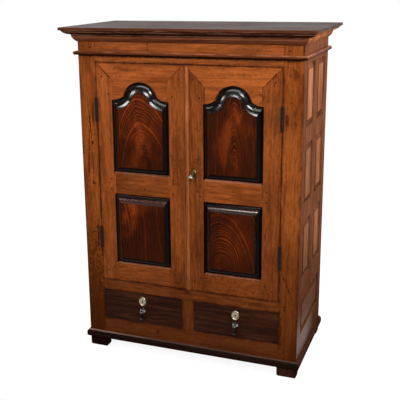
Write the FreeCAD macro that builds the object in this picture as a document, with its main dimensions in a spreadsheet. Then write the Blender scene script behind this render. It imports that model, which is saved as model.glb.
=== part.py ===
import FreeCAD, Part
import Sketcher
import math
import os
from types import SimpleNamespace

# A two-door spice cabinet in framed teak: rosewood door panels in ebony mouldings, three rows of
# fielded panels on each side, two drawers under the doors, a cornice, a base moulding and four feet.
# The frame: X to the right, Y to the back, Z up, in millimetres. The origin is on the floor, under
# the middle of the whole cabinet.

SIZES = {
    # the case
    "overall_height": 1071, "carcase_width": 710, "carcase_depth": 357,
    "foot_height": 36, "foot_width": 62, "foot_depth": 30, "foot_rounding": 9,
    "post_width": 58, "post_depth": 48, "top_board_thickness": 9, "top_board_rounding": 2,
    "front_rail_thickness": 36, "side_thickness": 24, "divider_width": 41,
    "base_rail_height": 74, "drawer_height": 105, "drawer_rail_height": 36, "frieze_height": 97,
    "tenon_length": 36, "tenon_thickness": 8, "tenon_depth": 9, "tenon_shoulder": 10,
    "peg_diameter": 6, "peg_inset": 16, "fit_clearance": 0.05,
    # the side frames
    "side_top_rail": 90, "side_mid_rail": 52, "side_lower_rail": 68, "side_lower_panel": 111,
    "side_bottom_rail": 95, "muntin_width": 48,
    "panel_thickness": 8, "panel_inset": 9, "groove_depth": 7, "groove_clearance": 0.2,
    "side_bevel": 19, "side_field_inset": 1.5,
    # the back, the shelves and the drawer runners
    "back_board_thickness": 12, "back_rail_thickness": 22, "back_rail_height": 62,
    "back_board_gap": 1,
    "floor_thickness": 18, "shelf_thickness": 18, "shelf_setback": 52, "shelf_play": 0.3,
    "ledger_width": 20, "ledger_height": 24, "ledger_lift": 2,
    "runner_width": 29, "runner_thickness": 20, "guide_height": 40,
    # the mouldings round the case
    "cornice_projection": 44, "cornice_height": 35.5, "ovolo_reach": 38, "ovolo_drop": 12.5,
    "ovolo_foot": 19, "ovolo_radius": 24, "lower_reach": 14.5, "lower_drop": 13.5,
    "lower_face": 3, "lower_radius": 30, "lower_foot": 1,
    "band_drop": 76, "band_height": 12, "band_projection": 12,
    "base_lap": 1, "base_height": 25, "base_projection": 9.5, "base_foot_radius": 6,
    # the doors
    "door_thickness": 24, "door_gap": 1, "meeting_gap": 2, "meeting_line": -7,
    "left_hinge_stile": 56, "right_hinge_stile": 60, "left_meeting_stile": 52, "lock_stile": 66,
    "door_tenon": 45, "head_tenon_drop": 24, "peg_outer_inset": 38,
    "bottom_rail": 64, "lower_panel": 228, "mid_rail": 76, "crown_rail": 62,
    "arch_radius": 54, "arch_half_angle": 79, "shoulder_drop": 57, "frame_chamfer": 5,
    "border_width": 16, "head_border_width": 25, "border_edge": 3, "border_fillet": 2.5,
    "border_height": 10.5, "border_top": 2, "border_swell": 2.2, "border_play": 0.15,
    "field_height": 9.5,
    "strip_width": 16, "strip_height": 8, "strip_flat": 3.5, "strip_flat_height": 5,
    "strip_quirk": 1,
    # hinges
    "hinge_length": 70, "upper_hinge_drop": 147, "lower_hinge_lift": 144, "barrel_radius": 5,
    "leaf_thickness": 1.8, "leaf_depth": 18, "pin_radius": 2.6, "knuckle_gap": 0.4,
    "finial_radius": 3.6,
    # the lock, the key and the keyhole plates
    "key_offset": 24, "key_lift": 12, "key_radius": 3, "keyway_radius": 3.5,
    "key_reach": 32, "bow_radius": 8, "bow_wire": 1.6, "collar_radius": 4.4, "collar_length": 4,
    "bit_length": 7, "bit_height": 10, "bit_thickness": 2.2, "bit_inset": 3,
    "lock_width": 60, "lock_height": 70, "lock_depth": 14, "lock_wall": 2, "lock_edge": 2,
    "bolt_height": 10, "bolt_thickness": 8, "bolt_length": 44, "bolt_lift": 13, "bolt_play": 0.3,
    "keeper_width": 12, "keeper_wall": 3, "keeper_setback": 3,
    "door_plate_width": 20, "door_plate_height": 34, "plate_dome": 4,
    # the drawers
    "drawer_play": 1, "drawer_recess": 1, "drawer_front": 22, "drawer_side": 10,
    "drawer_back_gap": 8, "drawer_side_drop": 9.7, "drawer_bottom_board": 6, "drawer_bottom_lift": 4,
    "runner_play": 0.3, "drawer_plate_width": 26.5, "drawer_plate_height": 33,
    "drawer_plate_drop": 28, "plate_rim": 4, "keyhole_radius": 2.6, "keyhole_slot": 2.2,
    "keyhole_drop": 8, "drawer_lock_width": 56, "drawer_lock_height": 44, "drawer_lock_depth": 10,
    # the drop pulls
    "pull_drop": 60, "rosette_radius": 9, "rosette_thickness": 3, "stem_radius": 3.4,
    "rosette_rim": 1, "pivot_reach": 14, "cheek_gap": 2.8, "fork_play": 1,
    "pull_pin_radius": 1, "pull_pin_play": 0.05,
    "drop_tab": 2.2, "drop_tab_radius": 3.2, "drop_neck": 5, "drop_neck_radius": 1.9,
    "drop_length": 30, "drop_radius": 6.5,
}
SIDES = {"left": -1, "right": 1}
BACK_BOARDS = 5
PEG_SIDES = 8
# Two pegs hold each tenon of the front frame, at these shares of the rail's height
PEG_SHARES = (0.37, 0.63)
# The pegs of a door's joints: the size that sets each in from the shoulder, and its share of the height
DOOR_PEGS = {
    "bottom_rail": (("peg_inset", 0.7), ("peg_outer_inset", 0.48)),
    "mid_rail": (("peg_inset", 0.25), ("peg_inset", 0.68)),
    "top_rail": (("peg_inset", 0.23), ("peg_outer_inset", 0.8)),
}
# How far a cutter runs past the face that it cuts
OVERCUT = 1

doc = FreeCAD.newDocument("spice_cabinet")
sheet = doc.addObject("Spreadsheet::Sheet", "sizes")
for row, (alias, worth) in enumerate(SIZES.items(), start=1):
    sheet.set(f"A{row}", alias)
    sheet.set(f"B{row}", str(worth))
    sheet.setAlias(f"B{row}", alias)
doc.recompute()


class Size:
    """A length: its worth in millimetres, and the formula of sheet cells that gives it."""

    def __init__(self, worth, formula):
        self.worth = worth
        self.formula = formula

    def __add__(self, other):
        other = as_size(other)
        return Size(self.worth + other.worth, f"({self.formula} + {other.formula})")

    def __sub__(self, other):
        other = as_size(other)
        return Size(self.worth - other.worth, f"({self.formula} - {other.formula})")

    def __mul__(self, other):
        other = as_size(other)
        return Size(self.worth * other.worth, f"({self.formula} * {other.formula})")

    def __truediv__(self, other):
        other = as_size(other)
        return Size(self.worth / other.worth, f"({self.formula} / {other.formula})")

    def __neg__(self):
        return self * -1

    __radd__ = __add__
    __rmul__ = __mul__


def as_size(value):
    if isinstance(value, Size):
        return value
    return Size(float(value), f"({value})")


s = SimpleNamespace(**{alias: Size(float(sheet.get(alias)), f"sizes.{alias}") for alias in SIZES})
ZERO = as_size(0)
nodes = {}


def bind(thing, property_name, length):
    """Ties a property to the sheet."""
    thing.setExpression(property_name, as_size(length).formula)


def place(thing, x=ZERO, y=ZERO, z=ZERO):
    bind(thing, "Placement.Base.x", x)
    bind(thing, "Placement.Base.y", y)
    bind(thing, "Placement.Base.z", z)


def node(name, thing):
    """Registers a finished sub-part under its own name."""
    thing.Label = name
    nodes[name] = thing
    return thing


def ordered(span):
    first, last = (as_size(end) for end in span)
    return (first, last) if first.worth <= last.worth else (last, first)


def block(x, y, z):
    """A board between two planes on each axis."""
    box = doc.addObject("Part::Box", "board")
    spans = [ordered(span) for span in (x, y, z)]
    for side, (low, high) in zip(("Length", "Width", "Height"), spans):
        bind(box, side, high - low)
    place(box, *(low for low, high in spans))
    return box


def turn(thing, axis, angle):
    """Turns a thing about its own origin."""
    rotation = FreeCAD.Rotation(FreeCAD.Vector(*axis), angle)
    thing.Placement = FreeCAD.Placement(FreeCAD.Vector(), rotation)


def laid(bar, x, y, z, length, along):
    """Lays a bar from the point (x, y, z) along X, Y or Z."""
    turns = {"X": ((0, 1, 0), 90), "Y": ((1, 0, 0), -90), "Z": ((0, 0, 1), 0)}
    turn(bar, *turns[along])
    bind(bar, "Height", length)
    place(bar, x, y, z)
    return bar


def cylinder(x, y, z, radius, length, along):
    """A round bar from the point (x, y, z) along X, Y or Z."""
    bar = doc.addObject("Part::Cylinder", "bar")
    bind(bar, "Radius", radius)
    return laid(bar, x, y, z, length, along)


def peg(x, y, z, radius, length):
    """A peg shaved with a knife to eight sides, driven in from the front."""
    bar = doc.addObject("Part::Prism", "peg")
    bar.Polygon = PEG_SIDES
    bind(bar, "Circumradius", radius)
    return laid(bar, x, y, z, length, "Y")


def cut(base, *tools):
    """The base with each tool taken out of it."""
    for tool in tools:
        carved = doc.addObject("Part::Cut", "carved")
        carved.Base = base
        carved.Tool = tool
        base = carved
    return base


def fuse(*pieces):
    joined = doc.addObject("Part::MultiFuse", "joined")
    joined.Shapes = list(pieces)
    joined.Refine = True
    return joined


def common(first, second):
    shared = doc.addObject("Part::Common", "shared")
    shared.Base = first
    shared.Tool = second
    return shared


def group(*pieces):
    """Several separate solids kept together as one sub-part."""
    together = doc.addObject("Part::Compound", "group")
    together.Links = list(pieces)
    return together


def shaped(shape):
    """A piece whose form comes from curves that are worked out in the code."""
    piece = doc.addObject("Part::Feature", "shaped")
    piece.Shape = shape
    return piece


def origin_plane(body, role):
    return next(plane for plane in body.Origin.OriginFeatures if plane.Role == role)


def draw(sketch, corners):
    """Draws a closed outline. Each corner is (u, v) or (u, v, bend), where the side that starts there
    is an arc of radius abs(bend), turning left for a positive bend and right for a negative one."""
    count = len(corners)
    sides = []
    for index, corner in enumerate(corners):
        following = corners[(index + 1) % count]
        start = FreeCAD.Vector(as_size(corner[0]).worth, as_size(corner[1]).worth, 0)
        end = FreeCAD.Vector(as_size(following[0]).worth, as_size(following[1]).worth, 0)
        bend = as_size(corner[2]) if len(corner) > 2 else ZERO
        if bend.worth == 0:
            number = sketch.addGeometry(Part.LineSegment(start, end), False)
            sides.append((number, 1, 2))
            continue
        chord = end - start
        radius = abs(bend.worth)
        left = FreeCAD.Vector(-chord.y, chord.x, 0).normalize()
        rise = math.sqrt(radius ** 2 - (chord.Length / 2) ** 2)
        middle = start + chord * 0.5 + left * math.copysign(rise, bend.worth)
        first, last = (start, end) if bend.worth > 0 else (end, start)
        angles = [math.atan2(point.y - middle.y, point.x - middle.x) for point in (first, last)]
        if angles[1] < angles[0]:
            angles[1] += 2 * math.pi
        circle = Part.Circle(middle, FreeCAD.Vector(0, 0, 1), radius)
        number = sketch.addGeometry(Part.ArcOfCircle(circle, *angles), False)
        sides.append((number, 1, 2) if bend.worth > 0 else (number, 2, 1))
        rule = sketch.addConstraint(Sketcher.Constraint("Radius", number, radius))
        sketch.setExpression(f"Constraints[{rule}]", (bend if bend.worth > 0 else -bend).formula)
    for index, (number, start, end) in enumerate(sides):
        following, next_start, _ = sides[(index + 1) % count]
        sketch.addConstraint(Sketcher.Constraint("Coincident", number, end, following, next_start))
    for (number, start, _), corner in zip(sides, corners):
        for direction, length in zip(("DistanceX", "DistanceY"), corner):
            length = as_size(length)
            rule = sketch.addConstraint(Sketcher.Constraint(direction, -1, 1, number, start, length.worth))
            sketch.setExpression(f"Constraints[{rule}]", length.formula)


def outlined_body(plane, corners):
    """A body with one sketch on an origin plane: XZ_Plane seen from the front, YZ_Plane from the
    right, XY_Plane from above."""
    body = doc.addObject("PartDesign::Body", "body")
    sketch = body.newObject("Sketcher::SketchObject", "outline")
    sketch.AttachmentSupport = (origin_plane(body, plane), [""])
    sketch.MapMode = "FlatFace"
    draw(sketch, corners)
    return body, sketch


def prism(plane, corners, start, end):
    """An outline carried from start to end, square to its plane."""
    body, sketch = outlined_body(plane, corners)
    pad = body.newObject("PartDesign::Pad", "pad")
    pad.Profile = sketch
    bind(pad, "Length", as_size(end) - start)
    pad.Reversed = plane == "XZ_Plane"
    axis = {"XZ_Plane": "y", "YZ_Plane": "x", "XY_Plane": "z"}[plane]
    bind(body, f"Placement.Base.{axis}", start)
    return body


def turned(plane, corners, axis):
    """A half profile turned right round an axis of its own sketch."""
    body, sketch = outlined_body(plane, corners)
    turning = body.newObject("PartDesign::Revolution", "turning")
    turning.Profile = sketch
    turning.ReferenceAxis = (sketch, [axis])
    turning.Angle = 360
    return body


def round_face(body, normal, radius):
    """Rounds every edge of the flat face that looks along normal."""
    doc.recompute()
    pad = body.Tip
    for number, face in enumerate(pad.Shape.Faces, start=1):
        if face.normalAt(0, 0).isEqual(FreeCAD.Vector(*normal), 1e-6):
            rounding = body.newObject("PartDesign::Fillet", "rounding")
            rounding.Base = (pad, [f"Face{number}"])
            bind(rounding, "Radius", radius)
    return body


# Planes that most pieces share
half = s.carcase_width / 2
front = (s.cornice_projection - s.carcase_depth) / 2
back = (s.cornice_projection + s.carcase_depth) / 2
opening = half - s.post_width
ceiling = s.overall_height - s.top_board_thickness
post_back = front + s.post_depth
rear_post_front = back - s.post_depth
back_rail_front = back - s.back_board_thickness - s.back_rail_thickness
side_face = half - s.side_thickness
drawer_sill = s.foot_height + s.base_rail_height
drawer_head = drawer_sill + s.drawer_height
door_sill = drawer_head + s.drawer_rail_height
door_head = ceiling - s.frieze_height
door_bottom = door_sill + s.door_gap
door_top = door_head - s.door_gap
band_bottom = ceiling - s.band_drop
side_head = ceiling - s.side_top_rail
side_lower_bottom = s.foot_height + s.side_bottom_rail
side_lower_top = side_lower_bottom + s.side_lower_panel


def tenoned_rail(x, y, z, inset, tenon):
    """A rail between two uprights, with a tenon at each end that goes into their mortises."""
    (left, right), (low, high) = ordered(x), ordered(z)
    rail = block(x, y, z)
    deep = (inset, inset + s.tenon_thickness)
    rise = (low + s.tenon_shoulder, high - s.tenon_shoulder)
    tenons = group(
        block((left - tenon, left), deep, rise),
        block((right, right + tenon), deep, rise))
    return rail, tenons


def pegs_at(spots, y):
    """Pegs across the tenons and the holes they are driven into: one of each at every (x, z)."""
    bars = {"peg": s.peg_diameter / 2, "hole": s.peg_diameter / 2 + s.fit_clearance}
    rows = {}
    for kind, radius in bars.items():
        rows[kind] = [peg(x, y[0], z, radius, y[1] - y[0]) for x, z in spots]
    return rows


# The front frame: a frieze rail, a drawer rail and a base rail, tenoned and pegged into the posts
rail_span = (-opening, opening)
rail_deep = (front, front + s.front_rail_thickness)
front_rails = {
    "frieze_rail": (door_head, ceiling),
    "drawer_rail": (drawer_head, door_sill),
    "base_rail": (s.foot_height, drawer_sill),
}
front_tenons = []
front_pegs = {"peg": [], "hole": []}
tenon_inset = front + s.tenon_depth
rail_pieces = {}
for name, height in front_rails.items():
    rail, tenons = tenoned_rail(rail_span, rail_deep, height, tenon_inset, s.tenon_length)
    front_tenons.append(tenons)
    rail_pieces[name] = (rail, tenons)
    levels = [height[0] + (height[1] - height[0]) * share for share in PEG_SHARES]
    if name == "frieze_rail":
        levels = [door_head + s.tenon_shoulder + s.peg_diameter, band_bottom + s.band_height * 2]
    peg_columns = (-opening - s.peg_inset, opening + s.peg_inset)
    pegs = pegs_at([(x, z) for x in peg_columns for z in levels], rail_deep)
    for kind in front_pegs:
        front_pegs[kind] += pegs[kind]
peg_holes = group(*front_pegs["hole"])
for name, (rail, tenons) in rail_pieces.items():
    node(name, cut(fuse(rail, tenons), peg_holes))
node("carcase_pegs", group(*front_pegs["peg"]))
node("drawer_divider", block(
    (-s.divider_width / 2, s.divider_width / 2), rail_deep, (drawer_sill, drawer_head)))

# Each side: five rails and three muntins grooved for six upright panels and one long one
side_row = (side_head - side_lower_top - s.side_lower_rail - s.side_mid_rail * 2) / 3
first_row = side_lower_top + s.side_lower_rail
row_bottoms = [first_row + (side_row + s.side_mid_rail) * row for row in range(3)]
side_middle = (front + back) / 2
muntin_span = (side_middle - s.muntin_width / 2, side_middle + s.muntin_width / 2)
columns = [(post_back, muntin_span[0]), (muntin_span[1], rear_post_front)]
side_openings = [(column, (low, low + side_row)) for low in row_bottoms for column in columns]
side_openings.append(((post_back, rear_post_front), (side_lower_bottom, side_lower_top)))
side_rail_heights = [
    (s.foot_height, side_lower_bottom),
    (side_lower_top, side_lower_top + s.side_lower_rail),
    (row_bottoms[1] - s.side_mid_rail, row_bottoms[1]),
    (row_bottoms[2] - s.side_mid_rail, row_bottoms[2]),
    (side_head, ceiling),
]


def side_board(side, deep, y, z):
    """A board of a side frame: deep is its span inwards from the outer face."""
    return block((half * side - deep[0] * side, half * side - deep[1] * side), y, z)


def side_panel(side, y, z):
    """A fielded panel: a thin plate in the grooves, and a raised field with bevelled edges."""
    reach = s.groove_depth - s.groove_clearance
    plate_deep = (s.panel_inset, s.panel_inset + s.panel_thickness)
    plate = side_board(side, plate_deep, (y[0] - reach, y[1] + reach), (z[0] - reach, z[1] + reach))
    field = doc.addObject("Part::Wedge", "field")
    limits = {
        "Xmin": ZERO, "X2min": s.side_bevel, "X2max": y[1] - y[0] - s.side_bevel, "Xmax": y[1] - y[0],
        "Zmin": ZERO, "Z2min": s.side_bevel, "Z2max": z[1] - z[0] - s.side_bevel, "Zmax": z[1] - z[0],
        "Ymin": ZERO, "Ymax": s.panel_inset - s.side_field_inset,
    }
    for limit, length in limits.items():
        bind(field, limit, length)
    turn(field, (0, 0, 1), -90 * side)
    start = y[1] if side > 0 else y[0]
    place(field, (half - s.panel_inset) * side, start, z[0])
    return fuse(plate, field)


side_slots = {}
for name, side in SIDES.items():
    panel_back = s.panel_inset + s.panel_thickness
    slot_deep = (s.panel_inset - s.groove_clearance, panel_back + s.groove_clearance)
    slots = group(*[
        side_board(side, slot_deep, (y[0] - s.groove_depth, y[1] + s.groove_depth),
                   (z[0] - s.groove_depth, z[1] + s.groove_depth)) for y, z in side_openings])
    side_slots[name] = slots
    wood = (ZERO, s.side_thickness)
    rails = [side_board(side, wood, (post_back, rear_post_front), z) for z in side_rail_heights]
    muntins = [side_board(side, wood, muntin_span, (low, low + side_row)) for low in row_bottoms]
    node(f"{name}_side_rails", group(*[cut(board, slots) for board in rails + muntins]))
    node(f"{name}_side_panels", group(*[side_panel(side, y, z) for y, z in side_openings]))


def hinge_levels():
    reach = s.hinge_length / 2
    levels = (door_top - s.upper_hinge_drop, door_bottom + s.lower_hinge_lift)
    return [(level - reach, level + reach) for level in levels]


def leaf_block(face, into, z):
    """A hinge leaf let into an edge: face is the edge, into is the way into the wood."""
    return block((face, face + s.leaf_thickness * into), (front, front + s.leaf_depth), z)


# The posts: the front pair carry the rails and the hinges, the rear pair the back
for name, side in SIDES.items():
    upright = block((half * side, opening * side), (front, post_back), (s.foot_height, ceiling))
    mortises = [leaf_block(opening * side, side, z) for z in hinge_levels()]
    carved = cut(upright, side_slots[name], *front_tenons, peg_holes, group(*mortises))
    node(f"post_front_{name}", carved)
rear_posts = []
for name, side in SIDES.items():
    upright = block((half * side, opening * side), (rear_post_front, back), (s.foot_height, ceiling))
    rear_posts.append(cut(upright, side_slots[name]))
node("rear_posts", group(*rear_posts))

# The back: rails between the rear posts, with upright boards nailed over them
back_rail_deep = (back_rail_front, back - s.back_board_thickness)
back_rail_bottoms = [s.foot_height, door_sill - s.floor_thickness, ceiling - s.back_rail_height]
node("back_rails", group(*[
    block((-opening, opening), back_rail_deep, (low, low + s.back_rail_height))
    for low in back_rail_bottoms]))
board_pitch = (opening * 2 + s.back_board_gap) / BACK_BOARDS
board_deep = (back - s.back_board_thickness, back)
back_boards = []
for index in range(BACK_BOARDS):
    start = -opening + board_pitch * index
    span = (start, start + board_pitch - s.back_board_gap)
    back_boards.append(block(span, board_deep, (s.foot_height, ceiling)))
node("back_boards", group(*back_boards))

# Inside: the cupboard floor, two shelves on ledgers, and the runners and guides of the drawers
floor_front = front + s.front_rail_thickness
side_reach = side_face - s.shelf_play
floor_corners = [
    (-opening, floor_front), (opening, floor_front), (opening, post_back + s.shelf_play),
    (side_reach, post_back + s.shelf_play), (side_reach, rear_post_front - s.shelf_play),
    (opening, rear_post_front - s.shelf_play), (opening, back_rail_front), (-opening, back_rail_front),
    (-opening, rear_post_front - s.shelf_play), (-side_reach, rear_post_front - s.shelf_play),
    (-side_reach, post_back + s.shelf_play), (-opening, post_back + s.shelf_play)]
node("cupboard_floor", prism("XY_Plane", floor_corners, door_sill - s.floor_thickness, door_sill))
shelf_deep = (front + s.shelf_setback, rear_post_front - s.shelf_play)
ledger_tops = [row_bottoms[row] - s.side_mid_rail + s.ledger_lift + s.ledger_height for row in (1, 2)]
node("shelves", group(*[
    block((-side_reach, side_reach), shelf_deep, (top, top + s.shelf_thickness)) for top in ledger_tops]))
node("shelf_ledgers", group(*[
    block((side_face * side, (side_face - s.ledger_width) * side), shelf_deep, (top - s.ledger_height, top))
    for top in ledger_tops for side in SIDES.values()]))
runner_deep = (floor_front, back_rail_front)
runner_rise = (drawer_sill - s.runner_thickness, drawer_sill)
guide_rise = (drawer_sill, drawer_sill + s.guide_height)
guide_deep = (post_back, rear_post_front)
middle_runner = s.divider_width / 2 + s.runner_width
runners = [block((-middle_runner, middle_runner), runner_deep, runner_rise)]
runners.append(block((-s.divider_width / 2, s.divider_width / 2), runner_deep, guide_rise))
for side in SIDES.values():
    runners.append(block((opening * side, (opening - s.runner_width) * side), runner_deep, runner_rise))
    runners.append(block((opening * side, side_face * side), guide_deep, guide_rise))
node("drawer_runners", group(*runners))

# The top board, the mouldings and the feet
overhang = half + s.cornice_projection
top_corners = [(-overhang, front - s.cornice_projection), (overhang, front - s.cornice_projection),
               (overhang, back), (-overhang, back)]
top_board = prism("XY_Plane", top_corners, ceiling, s.overall_height)
node("top_board", round_face(top_board, (0, 0, 1), s.top_board_rounding))


def moulding(profile, reach):
    """A moulding round the front and sides of the case, mitred at the front corners. The profile is
    (projection, height, bend) corners, as seen on the right side from the front."""
    low = min((corner[1] for corner in profile), key=lambda height: height.worth)
    high = max((corner[1] for corner in profile), key=lambda height: height.worth)

    def placed(base, way):
        return [(base + corner[0] * way, corner[1], *[bend * way for bend in corner[2:]])
                for corner in profile]

    far = half + reach
    plans = {
        "front": [(-half, front), (-far, front - reach), (far, front - reach), (half, front)],
        "left": [(-half, front), (-half, back), (-far, back), (-far, front - reach)],
        "right": [(half, front), (far, front - reach), (far, back), (half, back)],
    }
    runs = {
        "front": prism("YZ_Plane", placed(front, -1), -far, far),
        "left": prism("XZ_Plane", placed(-half, -1), front - reach, back),
        "right": prism("XZ_Plane", placed(half, 1), front - reach, back),
    }
    return [common(runs[name], prism("XY_Plane", plans[name], low, high)) for name in plans]


cornice_profile = [
    (ZERO, ceiling - s.cornice_height), (s.lower_foot, ceiling - s.cornice_height, s.lower_radius),
    (s.lower_reach, ceiling - s.lower_drop - s.lower_face), (s.lower_reach, ceiling - s.lower_drop),
    (s.ovolo_foot, ceiling - s.ovolo_drop, s.ovolo_radius), (s.ovolo_reach, ceiling), (ZERO, ceiling)]
node("cornice_moulding", group(*moulding(cornice_profile, s.cornice_projection)))
band_nose = s.band_height / 2
band_root = s.band_projection - band_nose
band_profile = [
    (ZERO, band_bottom), (band_root, band_bottom, band_nose),
    (s.band_projection, band_bottom + band_nose, band_nose),
    (band_root, band_bottom + s.band_height), (ZERO, band_bottom + s.band_height)]
node("band_moulding", group(*moulding(band_profile, s.band_projection)))
base_bottom = s.foot_height - s.base_lap
base_top = base_bottom + s.base_height
base_profile = [
    (ZERO, base_bottom), (s.base_projection - s.base_foot_radius, base_bottom, s.base_foot_radius),
    (s.base_projection, base_bottom + s.base_foot_radius),
    (s.base_projection, base_top - s.base_projection, s.base_projection), (ZERO, base_top)]
node("base_moulding", group(*moulding(base_profile, s.base_projection)))


def foot(x, y):
    corners = [(x[0], y[0]), (x[1], y[0]), (x[1], y[1]), (x[0], y[1])]
    return round_face(prism("XY_Plane", corners, ZERO, s.foot_height), (0, 0, -1), s.foot_rounding)


foot_columns = [(-half, -half + s.foot_width), (half - s.foot_width, half)]
foot_rows = [(front, front + s.foot_depth), (back - s.foot_depth, back)]
node("feet", group(*[foot(x, y) for x in foot_columns for y in foot_rows]))

# Openings of the door frames, as outlines that the frames, panels and borders share
lower_bottom = door_bottom + s.bottom_rail
lower_top = lower_bottom + s.lower_panel
upper_bottom = lower_top + s.mid_rail
crown = door_top - s.crown_rail


def point(x, y, z):
    return FreeCAD.Vector(x, y, z)


class Outline:
    """An opening seen from the front, grown by an offset, and at its head by an offset of its own: its
    corners in order, anticlockwise from the lower left, and for each side that is an arc its centre
    and radius (negative where the arc is hollow towards the frame)."""

    def __init__(self, left, right, bottom, top, arched, offset, head=None):
        head = offset if head is None else head
        centre = (left.worth + right.worth) / 2
        half_width = (right.worth - left.worth) / 2
        low, high = bottom.worth - offset, top.worth + head
        reach = half_width + offset
        self.arcs = {}
        if not arched:
            self.corners = [
                (centre - reach, low), (centre + reach, low), (centre + reach, high), (centre - reach, high)]
            return
        radius = s.arch_radius.worth
        arch_height = top.worth - radius
        shoulder = top.worth - s.shoulder_drop.worth
        turn = math.radians(s.arch_half_angle.worth)
        run = half_width - radius * math.sin(turn)
        rise = arch_height + radius * math.cos(turn) - shoulder
        flare = (run ** 2 + rise ** 2) / (2 * rise)
        flare_height = shoulder + flare
        apart = math.hypot(half_width, flare_height - arch_height)
        across = (half_width / apart, (flare_height - arch_height) / apart)
        arch, hollow = radius + head, flare - head
        along = (apart ** 2 + arch ** 2 - hollow ** 2) / (2 * apart)
        beside = math.sqrt(arch ** 2 - along ** 2)
        notch = (along * across[0] + beside * across[1],
                 arch_height + along * across[1] - beside * across[0])
        corner = (reach, flare_height - math.sqrt(hollow ** 2 - offset ** 2))
        self.corners = [
            (centre - reach, low), (centre + reach, low), (centre + corner[0], corner[1]),
            (centre + notch[0], notch[1]), (centre - notch[0], notch[1]), (centre - corner[0], corner[1])]
        self.arcs = {
            2: ((centre + half_width, flare_height), -hollow),
            3: ((centre, arch_height), arch),
            4: ((centre - half_width, flare_height), -hollow),
        }

    def side_ends(self, index):
        return self.corners[index], self.corners[(index + 1) % len(self.corners)]

    def middle(self, index):
        """The point half way along an arc: the crown of the arch, or the deepest point of a flare."""
        (x, z), radius = self.arcs[index]
        if radius > 0:
            return x, z + radius
        start, end = self.side_ends(index)
        toward = ((start[0] + end[0]) / 2 - x, (start[1] + end[1]) / 2 - z)
        scale = abs(radius) / math.hypot(*toward)
        return x + toward[0] * scale, z + toward[1] * scale

    def wire(self, y):
        edges = []
        for index in range(len(self.corners)):
            start, end = (point(x, y, z) for x, z in self.side_ends(index))
            if index in self.arcs:
                x, z = self.middle(index)
                edges.append(Part.Arc(start, point(x, y, z), end).toShape())
            else:
                edges.append(Part.makeLine(start, end))
        return Part.Wire(edges)


def slab(outline, start, end):
    """The outline carried from one depth to another."""
    return Part.Face(outline.wire(start)).extrude(point(0, end - start, 0))


plate_front = front.worth + s.panel_inset.worth
plate_back = plate_front + s.panel_thickness.worth


def opening_cutter(hole):
    """What the frame loses round one opening: the opening itself, the chamfer along its front edges
    and the groove for the panel."""
    face, rear = front.worth, front.worth + s.door_thickness.worth
    through = slab(hole(0), face - OVERCUT, rear + OVERCUT)
    chamfer = s.frame_chamfer.worth
    bevel = Part.makeLoft([hole(chamfer).wire(face), hole(0).wire(face + chamfer)], True, True)
    play = s.groove_clearance.worth
    groove = slab(hole(s.groove_depth.worth), plate_front - play, plate_back + play)
    return through.fuse([bevel, groove])


def door_panel(hole):
    """A rosewood panel: a plate in the groove, and a field raised inside the ebony border."""
    plate = slab(hole(s.groove_depth.worth - s.groove_clearance.worth), plate_front, plate_back)
    field_face = plate_front - s.field_height.worth
    edge, head_edge = (-width.worth - s.border_play.worth for width in (s.border_width, s.head_border_width))
    field = slab(hole(edge, head_edge), field_face, plate_front)
    return plate.fuse(field).removeSplitter()


def border_profile(spot):
    """The section of the ebony border: a low edge by the frame, a fillet, and a swelling slope that
    rises to the field. spot turns (distance from the frame, height) into a point."""
    edge, width = s.border_play.worth, s.border_width.worth
    shoulder = (s.border_fillet.worth, s.border_edge.worth)
    crest = (width - s.border_top.worth, s.border_height.worth)
    run = (crest[0] - shoulder[0], crest[1] - shoulder[1])
    length = math.hypot(*run)
    swell = s.border_swell.worth / length
    bulge = ((shoulder[0] + crest[0]) / 2 - run[1] * swell, (shoulder[1] + crest[1]) / 2 + run[0] * swell)
    first, low, lip = spot(edge, 0), spot(edge, s.border_edge.worth), spot(*shoulder)
    high, inner, last = spot(*crest), spot(width, s.border_height.worth), spot(width, 0)
    slope = Part.Arc(lip, spot(*bulge), high).toShape()
    edges = [Part.makeLine(first, low), Part.makeLine(low, lip), slope,
             Part.makeLine(high, inner), Part.makeLine(inner, last), Part.makeLine(last, first)]
    return Part.Face(Part.Wire(edges))


# The bent lengths of a border are turned this far, in degrees, before their mitres cut them to length
ARCH_SWEEP = 200
FLARE_SWEEP = 130


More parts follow.
